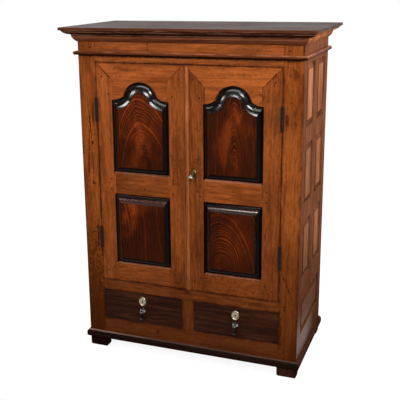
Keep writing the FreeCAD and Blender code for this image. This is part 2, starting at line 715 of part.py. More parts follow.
def border(hole):
    """The ebony border of one panel: a length of moulding for each side of the opening, mitred where
    they meet. The lengths round the head are wider."""
    width, head_width = s.border_width.worth, s.head_border_width.worth
    outer, inner = hole(0), hole(-width, -head_width)
    spare = max(width, head_width)
    lengths = []
    for index in range(len(outer.corners)):
        start, end = outer.side_ends(index)
        stretch = head_width / width if 2 <= index < len(outer.corners) - 1 else 1
        if index in outer.arcs:
            (x, z), radius = outer.arcs[index]
            sweep = ARCH_SWEEP if radius > 0 else FLARE_SWEEP
            middle = outer.middle(index)
            first = math.atan2(middle[1] - z, middle[0] - x) - math.radians(sweep / 2)
            way = -1 if radius > 0 else 1

            def spot(distance, height):
                size = abs(radius) + distance * stretch * way
                return point(x + size * math.cos(first), plate_front - height, z + size * math.sin(first))

            raw = border_profile(spot).revolve(point(x, 0, z), point(0, -1, 0), sweep)
        else:
            length = math.hypot(end[0] - start[0], end[1] - start[1])
            run = ((end[0] - start[0]) / length, (end[1] - start[1]) / length)

            def spot(distance, height):
                inward = distance * stretch
                return point(start[0] - run[0] * spare - run[1] * inward, plate_front - height,
                             start[1] - run[1] * spare + run[0] * inward)

            travel = length + spare * 2
            raw = border_profile(spot).extrude(point(run[0] * travel, 0, run[1] * travel))
        mitres = []
        for corner, heart in zip(outer.side_ends(index), inner.side_ends(index)):
            span = math.hypot(corner[0] - heart[0], corner[1] - heart[1])
            away = ((corner[0] - heart[0]) / span * spare, (corner[1] - heart[1]) / span * spare)
            mitres.append(((corner[0] + away[0], corner[1] + away[1]),
                           (heart[0] - away[0] / 2, heart[1] - away[1] / 2)))
        (start_out, start_in), (end_out, end_in) = mitres
        cell = [start_in, start_out, end_out, end_in]
        if index in outer.arcs and outer.arcs[index][1] > 0:
            lift = s.shoulder_drop.worth * 2
            cell = [inner.corners[index], start_out, (start_out[0], start_out[1] + lift),
                    (end_out[0], end_out[1] + lift), end_out, inner.corners[index + 1]]
        depth = s.border_height.worth + OVERCUT
        ring = [point(px, plate_front - depth, pz) for px, pz in cell]
        mitre_face = Part.Face(Part.makePolygon(ring + ring[:1]))
        lengths.append(raw.common(mitre_face.extrude(point(0, depth + OVERCUT, 0))))
    return lengths


# The profiles of small turned parts: shares of the length from one end, and of the greatest radius
BALL_STEPS = ((0, 0.5), (0.25, 0.92), (0.75, 0.92), (1, 0.5))
PEAR_STEPS = ((0, 0.3), (0.35, 0.55), (0.65, 0.95), (0.82, 0.97), (1, 0.4))


def ringed(start, length, radius, steps):
    """The half profile of a turned part: from the axis out and back along the steps."""
    outline = [(radius * wide, start + length * share) for share, wide in steps]
    return [(ZERO, outline[0][1])] + outline + [(ZERO, outline[-1][1])]


# Each door: stiles mitred to an arched top rail, two more rails tenoned in, panels, borders, hinges
def door(name, side, hinge_edge, hinge_stile, meeting_edge, meeting_stile):
    inward = -side
    hinge_inner = hinge_edge + hinge_stile * inward
    meeting_inner = meeting_edge - meeting_stile * inward
    left, right = ordered((hinge_inner, meeting_inner))
    wood = (front, front + s.door_thickness)

    def lower_hole(offset, head=None):
        return Outline(left, right, lower_bottom, lower_top, False, offset, head)

    def upper_hole(offset, head=None):
        return Outline(left, right, upper_bottom, crown, True, offset, head)

    carve = shaped(opening_cutter(lower_hole).fuse(opening_cutter(upper_hole)))
    span = (left, right)
    shoulder = crown - s.shoulder_drop
    joints = {
        "bottom_rail": (door_bottom, lower_bottom), "mid_rail": (lower_top, upper_bottom),
        "top_rail": (shoulder, door_top - s.head_tenon_drop),
    }
    rails = {
        rail_name: tenoned_rail(span, wood, rise, tenon_inset, s.door_tenon)
        for rail_name, rise in joints.items()}
    tenons = [pieces[1] for pieces in rails.values()]
    spots = []
    for rail_name, (low, high) in joints.items():
        for inset, share in DOOR_PEGS[rail_name]:
            set_in = getattr(s, inset)
            spots += [(x, low + (high - low) * share) for x in (left - set_in, right + set_in)]
    pegs = pegs_at(spots, wood)
    holes = group(*pegs["hole"])
    for rail_name in ("bottom_rail", "mid_rail"):
        node(f"{name}_{rail_name}", cut(fuse(*rails[rail_name]), carve, holes))

    outer_left, outer_right = ordered((hinge_edge, meeting_edge))
    top_corners = [
        (outer_left, door_top), (left, door_top - (left - outer_left)), (left, shoulder - s.frame_chamfer),
        (right, shoulder - s.frame_chamfer), (right, door_top - (outer_right - right)),
        (outer_right, door_top)]
    top_rail = prism("XZ_Plane", top_corners, *wood)
    node(f"{name}_top_rail", cut(fuse(top_rail, rails["top_rail"][1]), carve, holes))

    def stile(outer, inner):
        low, high = ordered((outer, inner))
        mitre = door_top - (high - low)
        corners = [(outer, door_bottom), (inner, door_bottom), (inner, mitre), (outer, door_top)]
        return prism("XZ_Plane", corners, *wood)

    leaf_seats = group(*[leaf_block(hinge_edge, inward, z) for z in hinge_levels()])
    node(f"{name}_hinge_stile", cut(stile(hinge_edge, hinge_inner), carve, *tenons, holes, leaf_seats))
    meeting = cut(stile(meeting_edge, meeting_inner), carve, *tenons, holes)
    node(f"{name}_pegs", group(*pegs["peg"]))
    node(f"{name}_panels", group(shaped(door_panel(lower_hole)), shaped(door_panel(upper_hole))))
    lengths = border(lower_hole) + border(upper_hole)
    node(f"{name}_borders", shaped(Part.makeCompound(lengths)))

    axis = (opening * side + hinge_edge) / 2
    axis_depth = front - s.barrel_radius
    bore_radius = s.pin_radius + s.fit_clearance
    bores = group(*[
        cylinder(axis, axis_depth, low, bore_radius, high - low, "Z") for low, high in hinge_levels()])
    leaves = []
    for low, high in hinge_levels():
        third = (high - low) / 3
        knuckle = (low + third + s.knuckle_gap / 2, high - third - s.knuckle_gap / 2)
        barrel = cylinder(axis, axis_depth, knuckle[0], s.barrel_radius, knuckle[1] - knuckle[0], "Z")
        plate = leaf_block(hinge_edge, inward, (low, high))
        web = block((hinge_edge, hinge_edge + s.leaf_thickness * inward), (axis_depth, front), knuckle)
        leaves.append(cut(fuse(barrel, plate, web), bores))
    node(f"{name}_hinge_leaves", group(*leaves))
    post_pieces = []
    for low, high in hinge_levels():
        third = (high - low) / 3
        face = opening * side
        pieces = [leaf_block(face, side, (low, high))]
        lower_knuckle = (low, low + third - s.knuckle_gap / 2)
        upper_knuckle = (high - third + s.knuckle_gap / 2, high)
        for start, end in (lower_knuckle, upper_knuckle):
            pieces.append(cylinder(axis, axis_depth, start, s.barrel_radius, end - start, "Z"))
            pieces.append(block((face, face + s.leaf_thickness * side), (axis_depth, front), (start, end)))
        post_pieces.append(cut(fuse(*pieces), bores))
        ball = turned("XZ_Plane", ringed(ZERO, s.finial_radius * 2, s.finial_radius, BALL_STEPS), "V_Axis")
        place(ball, axis, axis_depth, high - s.finial_radius / 2)
        barrel_span = (axis - s.barrel_radius, axis + s.barrel_radius)
        barrel_room = block(barrel_span, (axis_depth - s.barrel_radius, front), (low, high))
        pin = cylinder(axis, axis_depth, low, s.pin_radius, high - low + s.finial_radius / 2, "Z")
        post_pieces.append(fuse(pin, cut(ball, barrel_room)))
    return meeting, post_pieces


left_edge = s.meeting_line - s.meeting_gap / 2
right_edge = s.meeting_line + s.meeting_gap / 2
hinge_edge = opening - s.door_gap
left_meeting, left_post_pieces = door(
    "left_door", -1, -hinge_edge, s.left_hinge_stile, left_edge, s.left_meeting_stile)
right_meeting, right_post_pieces = door(
    "right_door", 1, hinge_edge, s.right_hinge_stile, right_edge, s.lock_stile)
node("left_door_meeting_stile", left_meeting)
node("post_hinge_leaves", group(*left_post_pieces, *right_post_pieces))

# The bead that covers the edge where the doors meet: a flat, a quirk and a round
strip_end = right_edge + s.strip_width
flat_end = right_edge + s.strip_flat
quirk = s.strip_flat_height - s.strip_quirk
round_start = flat_end + s.strip_quirk
strip_corners = [
    (right_edge, front), (right_edge, front - s.strip_flat_height), (flat_end, front - s.strip_flat_height),
    (flat_end, front - quirk), (round_start, front - quirk, s.strip_height),
    ((round_start + strip_end) / 2, front - s.strip_height, s.strip_height), (strip_end, front - quirk),
    (strip_end, front)]
node("meeting_strip", prism("XY_Plane", strip_corners, door_bottom, door_top))

# The lock on the back of the right door, its bolt, the key that works it and the keeper of the left door
door_back = front + s.door_thickness
key_height = upper_bottom + s.key_lift
keyway_front = front - s.plate_dome - OVERCUT
keyway_length = door_back + OVERCUT - keyway_front
keyway = cylinder(s.key_offset, keyway_front, key_height, s.keyway_radius, keyway_length, "Y")
node("right_door_meeting_stile", cut(right_meeting, keyway))
lock_left = right_edge + s.lock_edge
lock_low = key_height - s.lock_height / 2
lock_high = key_height + s.lock_height / 2
lock_right = lock_left + s.lock_width
lock_back = door_back + s.lock_depth
case = block((lock_left, lock_right), (door_back, lock_back), (lock_low, lock_high))
hollow = block((lock_left + s.lock_wall, lock_right - s.lock_wall), (door_back, lock_back - s.lock_wall),
               (lock_low + s.lock_wall, lock_high - s.lock_wall))
bolt_low = key_height + s.bolt_lift
bolt_rise = (bolt_low, bolt_low + s.bolt_height)
bolt_front = door_back + s.lock_wall
bolt_deep = (bolt_front, bolt_front + s.bolt_thickness)


def with_play(span):
    return span[0] - s.bolt_play, span[1] + s.bolt_play


bolt_slot = block((lock_left - OVERCUT, lock_left + s.lock_wall), with_play(bolt_deep), with_play(bolt_rise))
node("lock_case", cut(case, hollow, bolt_slot))
node("lock_bolt", block((lock_left, lock_left + s.bolt_length), bolt_deep, bolt_rise))
keeper_right = left_edge - s.keeper_setback
keeper_span = (keeper_right - s.keeper_width, keeper_right)
slot_rise = with_play(bolt_rise)
slot_deep = (door_back, bolt_deep[1] + s.bolt_play)
keeper_rise = (slot_rise[0] - s.keeper_wall, slot_rise[1] + s.keeper_wall)
keeper = block(keeper_span, (door_back, slot_deep[1] + s.keeper_wall), keeper_rise)
keeper_slot = block((keeper_span[0] - OVERCUT, keeper_right + OVERCUT), slot_deep, slot_rise)
node("lock_keeper", cut(keeper, keeper_slot))
# The section of the bow's wire, filed to six sides
BOW_STEPS = ((-1, 0), (-0.5, 0.87), (0.5, 0.87), (1, 0), (0.5, -0.87), (-0.5, -0.87))
bow_centre = front - s.key_reach
shank_end = door_back + s.bit_inset + s.bit_length
shank_start = bow_centre + s.bow_radius
shank = cylinder(s.key_offset, shank_start, key_height, s.key_radius, shank_end - shank_start, "Y")
collar = cylinder(s.key_offset, shank_start, key_height, s.collar_radius, s.collar_length, "Y")
bow = turned("XZ_Plane", [
    (s.bow_radius + s.bow_wire * out, s.bow_wire * up) for out, up in BOW_STEPS], "V_Axis")
place(bow, s.key_offset, bow_centre, key_height)
bit = block((s.key_offset, s.key_offset + s.bit_height), (door_back + s.bit_inset, shank_end),
            (key_height - s.bit_thickness / 2, key_height + s.bit_thickness / 2))
node("key", fuse(shank, collar, bow, bit))


# Steps of a keyhole plate, as shares of its height over the wood and of its rim's width
DOME_STEPS = ((0, 0), (0.6, 0.15), (1, 0.5))
DISH_STEPS = ((1, 0.6), (0.4, 1.1))


def oval_plate(x, face, z, width, height):
    """A domed oval keyhole plate with a dished middle, lying on a face that looks to the front."""
    solids = []
    for steps in (DOME_STEPS, DISH_STEPS):
        ovals = []
        for rise, shrink in steps:
            oval = doc.addObject("Part::Ellipse", "oval")
            bind(oval, "MajorRadius", height / 2 - s.plate_rim * shrink)
            bind(oval, "MinorRadius", width / 2 - s.plate_rim * shrink)
            turn(oval, (1, 1, 1), -120)
            place(oval, x, face - s.plate_dome * rise, z)
            ovals.append(oval)
        solid = doc.addObject("Part::Loft", "dome")
        solid.Sections = ovals
        solid.Solid = True
        solid.Ruled = True
        solids.append(solid)
    return cut(*solids)


door_plate = oval_plate(s.key_offset, front, key_height, s.door_plate_width, s.door_plate_height)
node("right_door_keyhole_plate", cut(door_plate, keyway))


# Each drawer: a rosewood front, two sides and a back, a bottom board, a keyhole plate and a drop pull
def drawer(name, x):
    left, right = ordered(x)
    face = front + s.drawer_recess
    front_back = face + s.drawer_front
    side_low = drawer_sill + s.runner_play
    side_rise = (side_low, drawer_head - s.drawer_side_drop)
    length_end = back_rail_front - s.drawer_back_gap
    centre = (left + right) / 2
    plate_height = drawer_head - s.drawer_plate_drop
    keyhole_front = face - s.plate_dome - OVERCUT
    keyhole_end = front_back + s.drawer_lock_depth - s.lock_wall
    slot = (centre - s.keyhole_slot / 2, centre + s.keyhole_slot / 2)
    hole = fuse(
        cylinder(centre, keyhole_front, plate_height, s.keyhole_radius, keyhole_end - keyhole_front, "Y"),
        block(slot, (keyhole_front, keyhole_end), (plate_height - s.keyhole_drop, plate_height)))
    front_rise = (drawer_sill + s.drawer_play, drawer_head - s.drawer_play)
    node(f"{name}_front", cut(block((left, right), (face, front_back), front_rise), hole))
    deep = (front_back, length_end)
    inner = (left + s.drawer_side, right - s.drawer_side)
    bottom_low = side_low + s.drawer_bottom_lift
    node(f"{name}_sides", group(
        block((left, inner[0]), deep, side_rise), block((inner[1], right), deep, side_rise),
        block(inner, (length_end - s.drawer_side, length_end), side_rise)))
    bottom_deep = (front_back, length_end - s.drawer_side)
    node(f"{name}_bottom", block(inner, bottom_deep, (bottom_low, bottom_low + s.drawer_bottom_board)))
    lock_span = (centre - s.drawer_lock_width / 2, centre + s.drawer_lock_width / 2)
    lock_deep = (front_back, front_back + s.drawer_lock_depth)
    lock_rise = (plate_height - s.drawer_lock_height / 2, plate_height + s.drawer_lock_height / 2)
    lock = cut(block(lock_span, lock_deep, lock_rise), hole)
    plate = cut(oval_plate(centre, face, plate_height, s.drawer_plate_width, s.drawer_plate_height), hole)

    pivot = (centre, face - s.pivot_reach, drawer_head - s.pull_drop)
    mount = turned("YZ_Plane", [
        (s.pivot_reach, ZERO), (s.pivot_reach, s.rosette_radius),
        (s.pivot_reach - s.rosette_rim, s.rosette_radius),
        (s.pivot_reach - s.rosette_thickness * 0.7, (s.rosette_radius + s.stem_radius) / 2),
        (s.pivot_reach - s.rosette_thickness, s.stem_radius), (-s.stem_radius, s.stem_radius),
        (-s.stem_radius, ZERO)], "H_Axis")
    place(mount, *pivot)
    fork_span = (centre - s.cheek_gap / 2, centre + s.cheek_gap / 2)
    fork_deep = (pivot[1] - s.rosette_radius, pivot[1] + s.drop_tab_radius + s.fork_play)
    fork = block(fork_span, fork_deep, (pivot[2] - s.rosette_radius, pivot[2] + s.rosette_radius))
    pin_start = centre - s.stem_radius
    pin_length = s.stem_radius * 2
    pin = cylinder(pin_start, pivot[1], pivot[2], s.pull_pin_radius, pin_length, "X")
    hole_radius = s.pull_pin_radius + s.pull_pin_play
    pin_hole = cylinder(pin_start - OVERCUT, pivot[1], pivot[2], hole_radius, pin_length + 2 * OVERCUT, "X")
    node(f"{name}_fittings", group(lock, plate, cut(mount, fork, pin_hole), pin))

    pear_length = s.drop_neck - s.drop_length
    pear = turned("XZ_Plane", ringed(-s.drop_neck, pear_length, s.drop_radius, PEAR_STEPS), "V_Axis")
    place(pear, *pivot)
    tab_span = (centre - s.drop_tab / 2, centre + s.drop_tab / 2)
    tab = cylinder(tab_span[0], pivot[1], pivot[2], s.drop_tab_radius, s.drop_tab, "X")
    link_deep = (pivot[1] - s.drop_neck_radius, pivot[1] + s.drop_neck_radius)
    link = block(tab_span, link_deep, (pivot[2] - s.drop_neck - OVERCUT, pivot[2]))
    node(f"{name}_drop", cut(fuse(pear, tab, link), pin_hole))


drawer("left_drawer", (-opening + s.drawer_play, -s.divider_width / 2 - s.drawer_play))
drawer("right_drawer", (opening - s.drawer_play, s.divider_width / 2 + s.drawer_play))

# Every object and every sub-part is sound before anything is written
doc.recompute()
failed = [thing.Label for thing in doc.Objects if "Invalid" in thing.State or "Error" in thing.State]
if failed:
    raise RuntimeError(f"objects that failed: {failed}")
for name, thing in nodes.items():
    if thing.Shape.isNull() or not thing.Shape.isValid() or not thing.Shape.Solids:
        raise RuntimeError(f"sub-part {name} has no sound shape")
os.makedirs("parts", exist_ok=True)
for name, thing in nodes.items():
    thing.Shape.exportStep(f"parts/{name}.step")
print(len(nodes), "sub-parts written")
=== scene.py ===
import math
import random

import bpy
from mathutils import Matrix, Vector


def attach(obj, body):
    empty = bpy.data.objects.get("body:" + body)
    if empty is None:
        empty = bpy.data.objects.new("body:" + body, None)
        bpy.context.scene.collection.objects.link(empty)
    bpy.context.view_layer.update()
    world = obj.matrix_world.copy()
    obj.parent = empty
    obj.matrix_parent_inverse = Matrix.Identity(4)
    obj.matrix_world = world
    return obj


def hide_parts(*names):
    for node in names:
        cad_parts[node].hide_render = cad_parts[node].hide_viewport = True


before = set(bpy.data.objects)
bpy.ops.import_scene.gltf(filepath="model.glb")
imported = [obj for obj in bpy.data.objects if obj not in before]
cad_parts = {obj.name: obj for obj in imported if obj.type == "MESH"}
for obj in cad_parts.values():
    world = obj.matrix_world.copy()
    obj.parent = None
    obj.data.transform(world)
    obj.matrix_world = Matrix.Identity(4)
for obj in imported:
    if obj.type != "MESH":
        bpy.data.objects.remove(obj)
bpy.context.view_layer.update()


# Corner posts. Four square posts of teak carry the case: the rails are tenoned into them and the side panels
# run in their grooves. They were planed, eased along the edges and waxed. The front has browned with age and
# use, while the side faces are painted greyer for the sheen that they reflect, and keep a little polish low
# down.
POST_ARRIS, SIDE_FACING, DRAWER_MIDDLE = 0.0011, 0.9, 0.15875
FRONT_DEPTHS = -0.148, -0.153  # dirt, painted shade and marks on the front fade in here
OUTLINES = (  # doors, drawer and case: middle and half of the width, then of the height
    (0.0, 0.297, 0.608, 0.357), (DRAWER_MIDDLE, 0.138, 0.1625, 0.053), (0.0, 0.355, 0.52, 0.6))
SEAM_REACH, SEAM_CORE = 0.009, 0.001
GRIME_AND_SHADE_FOOT, GRIME_AND_SHADE_SWAY = 0.06, 0.22
RING_STOPS = (0.45, 0.2), (0.8, 1.0), (0.92, 0.7)  # how dark a year's wood is, from spring to winter
RIM_RADIUS, RIM_FALL = 0.75, 2.6
PALE_CLOUD, DEEP_PORE, DIRT_AND_SHADE_DEPTH, RUBBED_EDGE = 1.35, 0.5, 0.28, 1.7
RELIEF_DEPTH, WELD_GAP, FLAT_TURN, EASE_STEPS = 0.0004, 0.000004, 0.2, 2
POLISH_HEIGHTS, POLISH_DEPTHS, POLISH_DULLNESS = (0.24, 0.1), (0.12, -0.05), 0.28


def feed(tree, node, feeds):
    """Gives a node its inputs: a socket is joined, and any other value is typed in."""
    for name, value in feeds.items():
        if isinstance(value, bpy.types.NodeSocket):
            tree.links.new(value, node.inputs[name])
        else:
            node.inputs[name].default_value = value


def put(tree, kind, feeds=None, **settings):
    """A new node in a tree, with its settings and inputs."""
    made = tree.nodes.new("ShaderNode" + kind)
    for name, value in settings.items():
        setattr(made, name, value)
    feed(tree, made, feeds or {})
    return made


def reckon(tree, operation, *terms):
    """The result of one Math node."""
    return put(tree, "Math", dict(enumerate(terms)), operation=operation).outputs[0]


def product(tree, result, *others):
    """All terms multiplied."""
    for term in others:
        result = reckon(tree, "MULTIPLY", result, term)
    return result


def distance(tree, value, middle):
    """How far a value lies from a middle, on either side."""
    return reckon(tree, "ABSOLUTE", reckon(tree, "SUBTRACT", value, middle))


def slant(tree, across, up):
    """The straight line over two sides of a right angle."""
    return reckon(tree, "SQRT", reckon(tree, "ADD", product(tree, across, across), product(tree, up, up)))


def stretched(tree, vector, scale):
    """A vector with each part multiplied by its own number."""
    return put(tree, "VectorMath", {0: vector, 1: scale}, operation="MULTIPLY").outputs[0]


def parts_of(tree, vector):
    """X, Y and Z of a vector."""
    return put(tree, "SeparateXYZ", {0: vector}).outputs


def place_on(tree):
    """Where a point lies on the cabinet, in metres."""
    return put(tree, "TexCoord").outputs["Object"]


def speckle(tree, vector, scale, detail=2.0, roughness=0.5):
    """Noise over a stretched vector."""
    feeds = {"Vector": stretched(tree, vector, scale), "Scale": 1.0,
             "Detail": detail, "Roughness": roughness}
    return put(tree, "TexNoise", feeds).outputs["Fac"]


def between(tree, value, low, high, to_low=0.0, to_high=1.0):
    """A value spread from one range to another, and held at its ends."""
    feeds = {"Value": value, "From Min": low, "From Max": high, "To Min": to_low, "To Max": to_high}
    return put(tree, "MapRange", feeds, interpolation_type="SMOOTHSTEP").outputs[0]


def pigment(colour, strength=1.0):
    """A colour, made paler or darker, as a colour socket takes it."""
    return (*(min(1.0, part * strength) for part in colour), 1)


def tinted(tree, share, ground, tint):
    """A colour with a share of another laid over it."""
    return put(tree, "Mix", {0: share, 6: ground, 7: tint}, data_type="RGBA").outputs[2]


def new_group(name, takes, gives):
    """An empty node group with named sockets: its tree, what it is given and the masks that it gives."""
    tree = bpy.data.node_groups.new(name, "ShaderNodeTree")
    for label, kind in takes:
        tree.interface.new_socket(label, in_out="INPUT", socket_type="NodeSocket" + kind)
    for label in gives:
        tree.interface.new_socket(label, in_out="OUTPUT", socket_type="NodeSocketFloat")
    return tree, tree.nodes.new("NodeGroupInput").outputs, tree.nodes.new("NodeGroupOutput").inputs


def use_group(tree, group, feeds):
    """The outputs of a group placed in a material, with values of its own."""
    made = tree.nodes.new("ShaderNodeGroup")
    made.node_tree = group
    feed(tree, made, feeds)
    return made.outputs


def sawn_figure():
    """The figure of a sawn board, read from where each point lies in the tree: growth rings about the pith,
    long streaks, short pores, a slow cloud and a fine mottle."""
    tree, given, result = new_group(
        "sawn figure", [("Grain", "Vector"), ("Ring Width", "Float"), ("Wander", "Float")],
        ["Rings", "Streaks", "Pores", "Cloud", "Mottle"])
    grain = given["Grain"]
    across = stretched(tree, grain, (0, 1, 1))
    from_pith = put(tree, "VectorMath", {0: across}, operation="LENGTH").outputs["Value"]
    sway = reckon(tree, "SUBTRACT", speckle(tree, grain, (3, 13, 13), detail=3), 0.5)
    radius = reckon(tree, "ADD", from_pith, product(tree, sway, given["Wander"]))
    years = reckon(tree, "DIVIDE", radius, given["Ring Width"])
    wet_years = put(tree, "TexNoise", {"W": product(tree, years, 0.33), "Scale": 1.0, "Detail": 1.0},
                    noise_dimensions="1D").outputs["Fac"]
    season = reckon(tree, "FRACT", reckon(tree, "ADD", years, product(tree, wet_years, 3.0)))
    ring = put(tree, "ValToRGB", {"Fac": season})
    stops = ring.color_ramp.elements
    stops[0].color, stops[1].color = (0.02, 0.02, 0.02, 1), (0.0, 0.0, 0.0, 1)
    for place, depth in RING_STOPS:
        stops.new(place).color = (depth, depth, depth, 1)
    tree.links.new(ring.outputs["Color"], result["Rings"])
    long_streaks = speckle(tree, grain, (2.2, 75, 75), detail=5, roughness=0.7)
    tree.links.new(between(tree, long_streaks, 0.42, 0.66), result["Streaks"])
    short_pores = speckle(tree, grain, (34, 1000, 1000), detail=1)
    tree.links.new(between(tree, short_pores, 0.58, 0.72), result["Pores"])
    tree.links.new(speckle(tree, grain, (5, 16, 16), detail=4, roughness=0.6), result["Cloud"])
    tree.links.new(speckle(tree, grain, (26, 130, 130), detail=4, roughness=0.7), result["Mottle"])
    return tree


def years_of_use():
    """What use leaves on a piece: wear where edges are eased, grime and painted shade towards the floor, dirt
    and painted shade along the outlines of doors and drawers, and dark specks."""
    tree, given, result = new_group(
        "years of use", [("Place", "Vector"), ("Arris", "Float"), ("Floor Line", "Float")],
        ["Wear", "Grime", "Dirt", "Specks"])
    place = parts_of(tree, given["Place"])
    height, aside = place["Z"], reckon(tree, "ABSOLUTE", place["X"])
    unevenness = between(tree, speckle(tree, given["Place"], (21, 21, 9), detail=4, roughness=0.65), 0.42, 0.62)
    tree.links.new(product(tree, given["Arris"], unevenness), result["Wear"])
    # dirt and painted shade along the outlines of doors and drawers
    seams = 0.0
    for x, half_width, z, half_height in OUTLINES:
        past = [reckon(tree, "SUBTRACT", distance(tree, value, middle), half)
                for value, middle, half in ((aside, x, half_width), (height, z, half_height))]
        gap = reckon(tree, "ABSOLUTE", reckon(tree, "MAXIMUM", *past))
        seams = reckon(tree, "MAXIMUM", seams, between(tree, gap, SEAM_REACH, SEAM_CORE))
    patchy = between(tree, speckle(tree, given["Place"], (26, 26, 15), detail=3, roughness=0.6), 0.34, 0.66)
    in_front = between(tree, place["Y"], *FRONT_DEPTHS)
    tree.links.new(product(tree, seams, patchy, in_front), result["Dirt"])
    specks = speckle(tree, given["Place"], (170, 170, 120), detail=2, roughness=0.6)
    tree.links.new(between(tree, specks, 0.63, 0.74), result["Specks"])
    # grime and painted shade, darker towards the floor
    uneven = product(tree, speckle(tree, given["Place"], (9, 9, 5), detail=4, roughness=0.6), GRIME_AND_SHADE_SWAY)
    low_down = between(tree, reckon(tree, "ADD", height, uneven), given["Floor Line"], GRIME_AND_SHADE_FOOT)
    tree.links.new(low_down, result["Grime"])
    return tree


def front_mark():
    """One stained patch, crack, hole, knot or painted shadow on the front: an uneven oval, leaning, filled or
    as a ring.
    """
    measures = "Middle X", "Middle Z", "Across", "Up", "Lean", "Hollow"
    tree, given, result = new_group(
        "front mark", [("Place", "Vector"), *((measure, "Float") for measure in measures)], ["Mark"])
    place = parts_of(tree, given["Place"])
    x = reckon(tree, "SUBTRACT", place["X"], given["Middle X"])
    z = reckon(tree, "SUBTRACT", place["Z"], given["Middle Z"])
    sine, cosine = reckon(tree, "SINE", given["Lean"]), reckon(tree, "COSINE", given["Lean"])
    across = reckon(tree, "SUBTRACT", product(tree, x, cosine), product(tree, z, sine))
    up = reckon(tree, "ADD", product(tree, x, sine), product(tree, z, cosine))
    across, up = reckon(tree, "DIVIDE", across, given["Across"]), reckon(tree, "DIVIDE", up, given["Up"])
    reach = slant(tree, across, up)
    ragged = between(tree, speckle(tree, given["Place"], (120, 120, 90), detail=3), 0.3, 0.7, -0.3, 0.3)
    reach = reckon(tree, "ADD", reach, ragged)
    rim = product(tree, distance(tree, reach, RIM_RADIUS), RIM_FALL)
    reach = put(tree, "Mix", {0: given["Hollow"], 2: reach, 3: rim}, data_type="FLOAT").outputs[0]
    in_front = between(tree, place["Y"], *FRONT_DEPTHS)
    tree.links.new(product(tree, between(tree, reach, 1.0, 0.35), in_front), result["Mark"])
    return tree


SAWN_FIGURE = sawn_figure()
YEARS_OF_USE = years_of_use()
FRONT_MARK = front_mark()


def mark(x, z, across, up, strength, lean=0, hollow=0):
    """A mark on the front: its middle, reach across and up, strength, lean in degrees, and 1 for a ring."""
    return {"Middle X": x, "Middle Z": z, "Across": across, "Up": up,
            "Lean": math.radians(lean), "Hollow": hollow}, strength


def wood_finish(name, early, late, streak, ring_width=0.0045, wander=0.012, ring_share=0.45,
                streak_share=0.55, tone_share=0.16, dullness=0.5, lustre=0.03, floor_line=0.62, grime=0.55,
                seam_dirt_and_shade=0.8, worn=None, wear=0.0, mottle=1.3, sharpness=1.0, raised=0.12, marks=()):
    """A waxed or polished wood: early and late wood of the rings, streaks, pores, wear, grime and painted
    shade.
    """
    material = bpy.data.materials.new(name)
    material.use_nodes = True
    tree = material.node_tree
    shader = tree.nodes["Principled BSDF"]
    grain = put(tree, "Attribute", attribute_name="grain").outputs["Vector"]
    tone = put(tree, "Attribute", attribute_name="tone").outputs["Fac"]
    arris = put(tree, "Attribute", attribute_name="arris").outputs["Fac"]
    place = place_on(tree)
    figure = use_group(tree, SAWN_FIGURE, {"Grain": grain, "Ring Width": ring_width, "Wander": wander})
    use = use_group(tree, YEARS_OF_USE, {"Place": place, "Arris": arris, "Floor Line": floor_line})
    # one dark colour for dirt and painted shade alike
    dirt_and_shade = pigment(late, DIRT_AND_SHADE_DEPTH)
    edge = pigment(worn) if worn else pigment(early, RUBBED_EDGE)
    rings = product(tree, reckon(tree, "POWER", figure["Rings"], sharpness), ring_share)
    colour = tinted(tree, rings, pigment(early), pigment(late))
    colour = tinted(tree, product(tree, figure["Streaks"], streak_share), colour, pigment(streak))
    cloud = figure["Cloud"]
    colour = tinted(tree, between(tree, cloud, 0.52, 0.75, 0.0, 0.5), colour, pigment(early, PALE_CLOUD))
    colour = tinted(tree, between(tree, cloud, 0.5, 0.3, 0.0, 0.75), colour, pigment(late))
    colour = tinted(tree, product(tree, figure["Pores"], 0.45), colour, pigment(late, DEEP_PORE))
    blotch = product(tree, reckon(tree, "SUBTRACT", figure["Mottle"], 0.5), mottle)
    shade = reckon(tree, "ADD", reckon(tree, "ADD", 1.0, blotch), product(tree, tone, tone_share))
    colour = put(tree, "HueSaturation", {"Color": colour, "Value": shade}).outputs[0]
    # grime and painted shade, darker towards the floor
    colour = tinted(tree, product(tree, use["Grime"], grime), colour, dirt_and_shade)
    # dirt and painted shade along the outlines of doors and drawers
    colour = tinted(tree, product(tree, use["Dirt"], seam_dirt_and_shade), colour, dirt_and_shade)
    colour = tinted(tree, product(tree, use["Specks"], 0.5 * mottle), colour, dirt_and_shade)
    # marks in the dark colour: stains, cracks, holes and knots, and painted shadows
    for spot, strength in marks:
        mark_share = use_group(tree, FRONT_MARK, {"Place": place, **spot})["Mark"]
        colour = tinted(tree, product(tree, mark_share, strength), colour, dirt_and_shade)
    # eased edges darkened: dirt and painted shade in the creases
    colour = tinted(tree, product(tree, arris, seam_dirt_and_shade), colour, dirt_and_shade)
    colour = tinted(tree, product(tree, use["Wear"], wear), colour, edge)
    tree.links.new(colour, shader.inputs["Base Color"])
    dull = reckon(tree, "ADD", between(tree, cloud, 0.3, 0.7, dullness - 0.05, dullness + 0.06),
                  product(tree, figure["Pores"], 0.12))
    tree.links.new(dull, shader.inputs["Roughness"])
    relief = reckon(tree, "SUBTRACT", product(tree, figure["Rings"], 0.35), figure["Pores"])
    bump = put(tree, "Bump", {"Strength": raised, "Distance": RELIEF_DEPTH, "Height": relief})
    tree.links.new(bump.outputs[0], shader.inputs["Normal"])
    shader.inputs["Specular IOR Level"].default_value = lustre
    return material


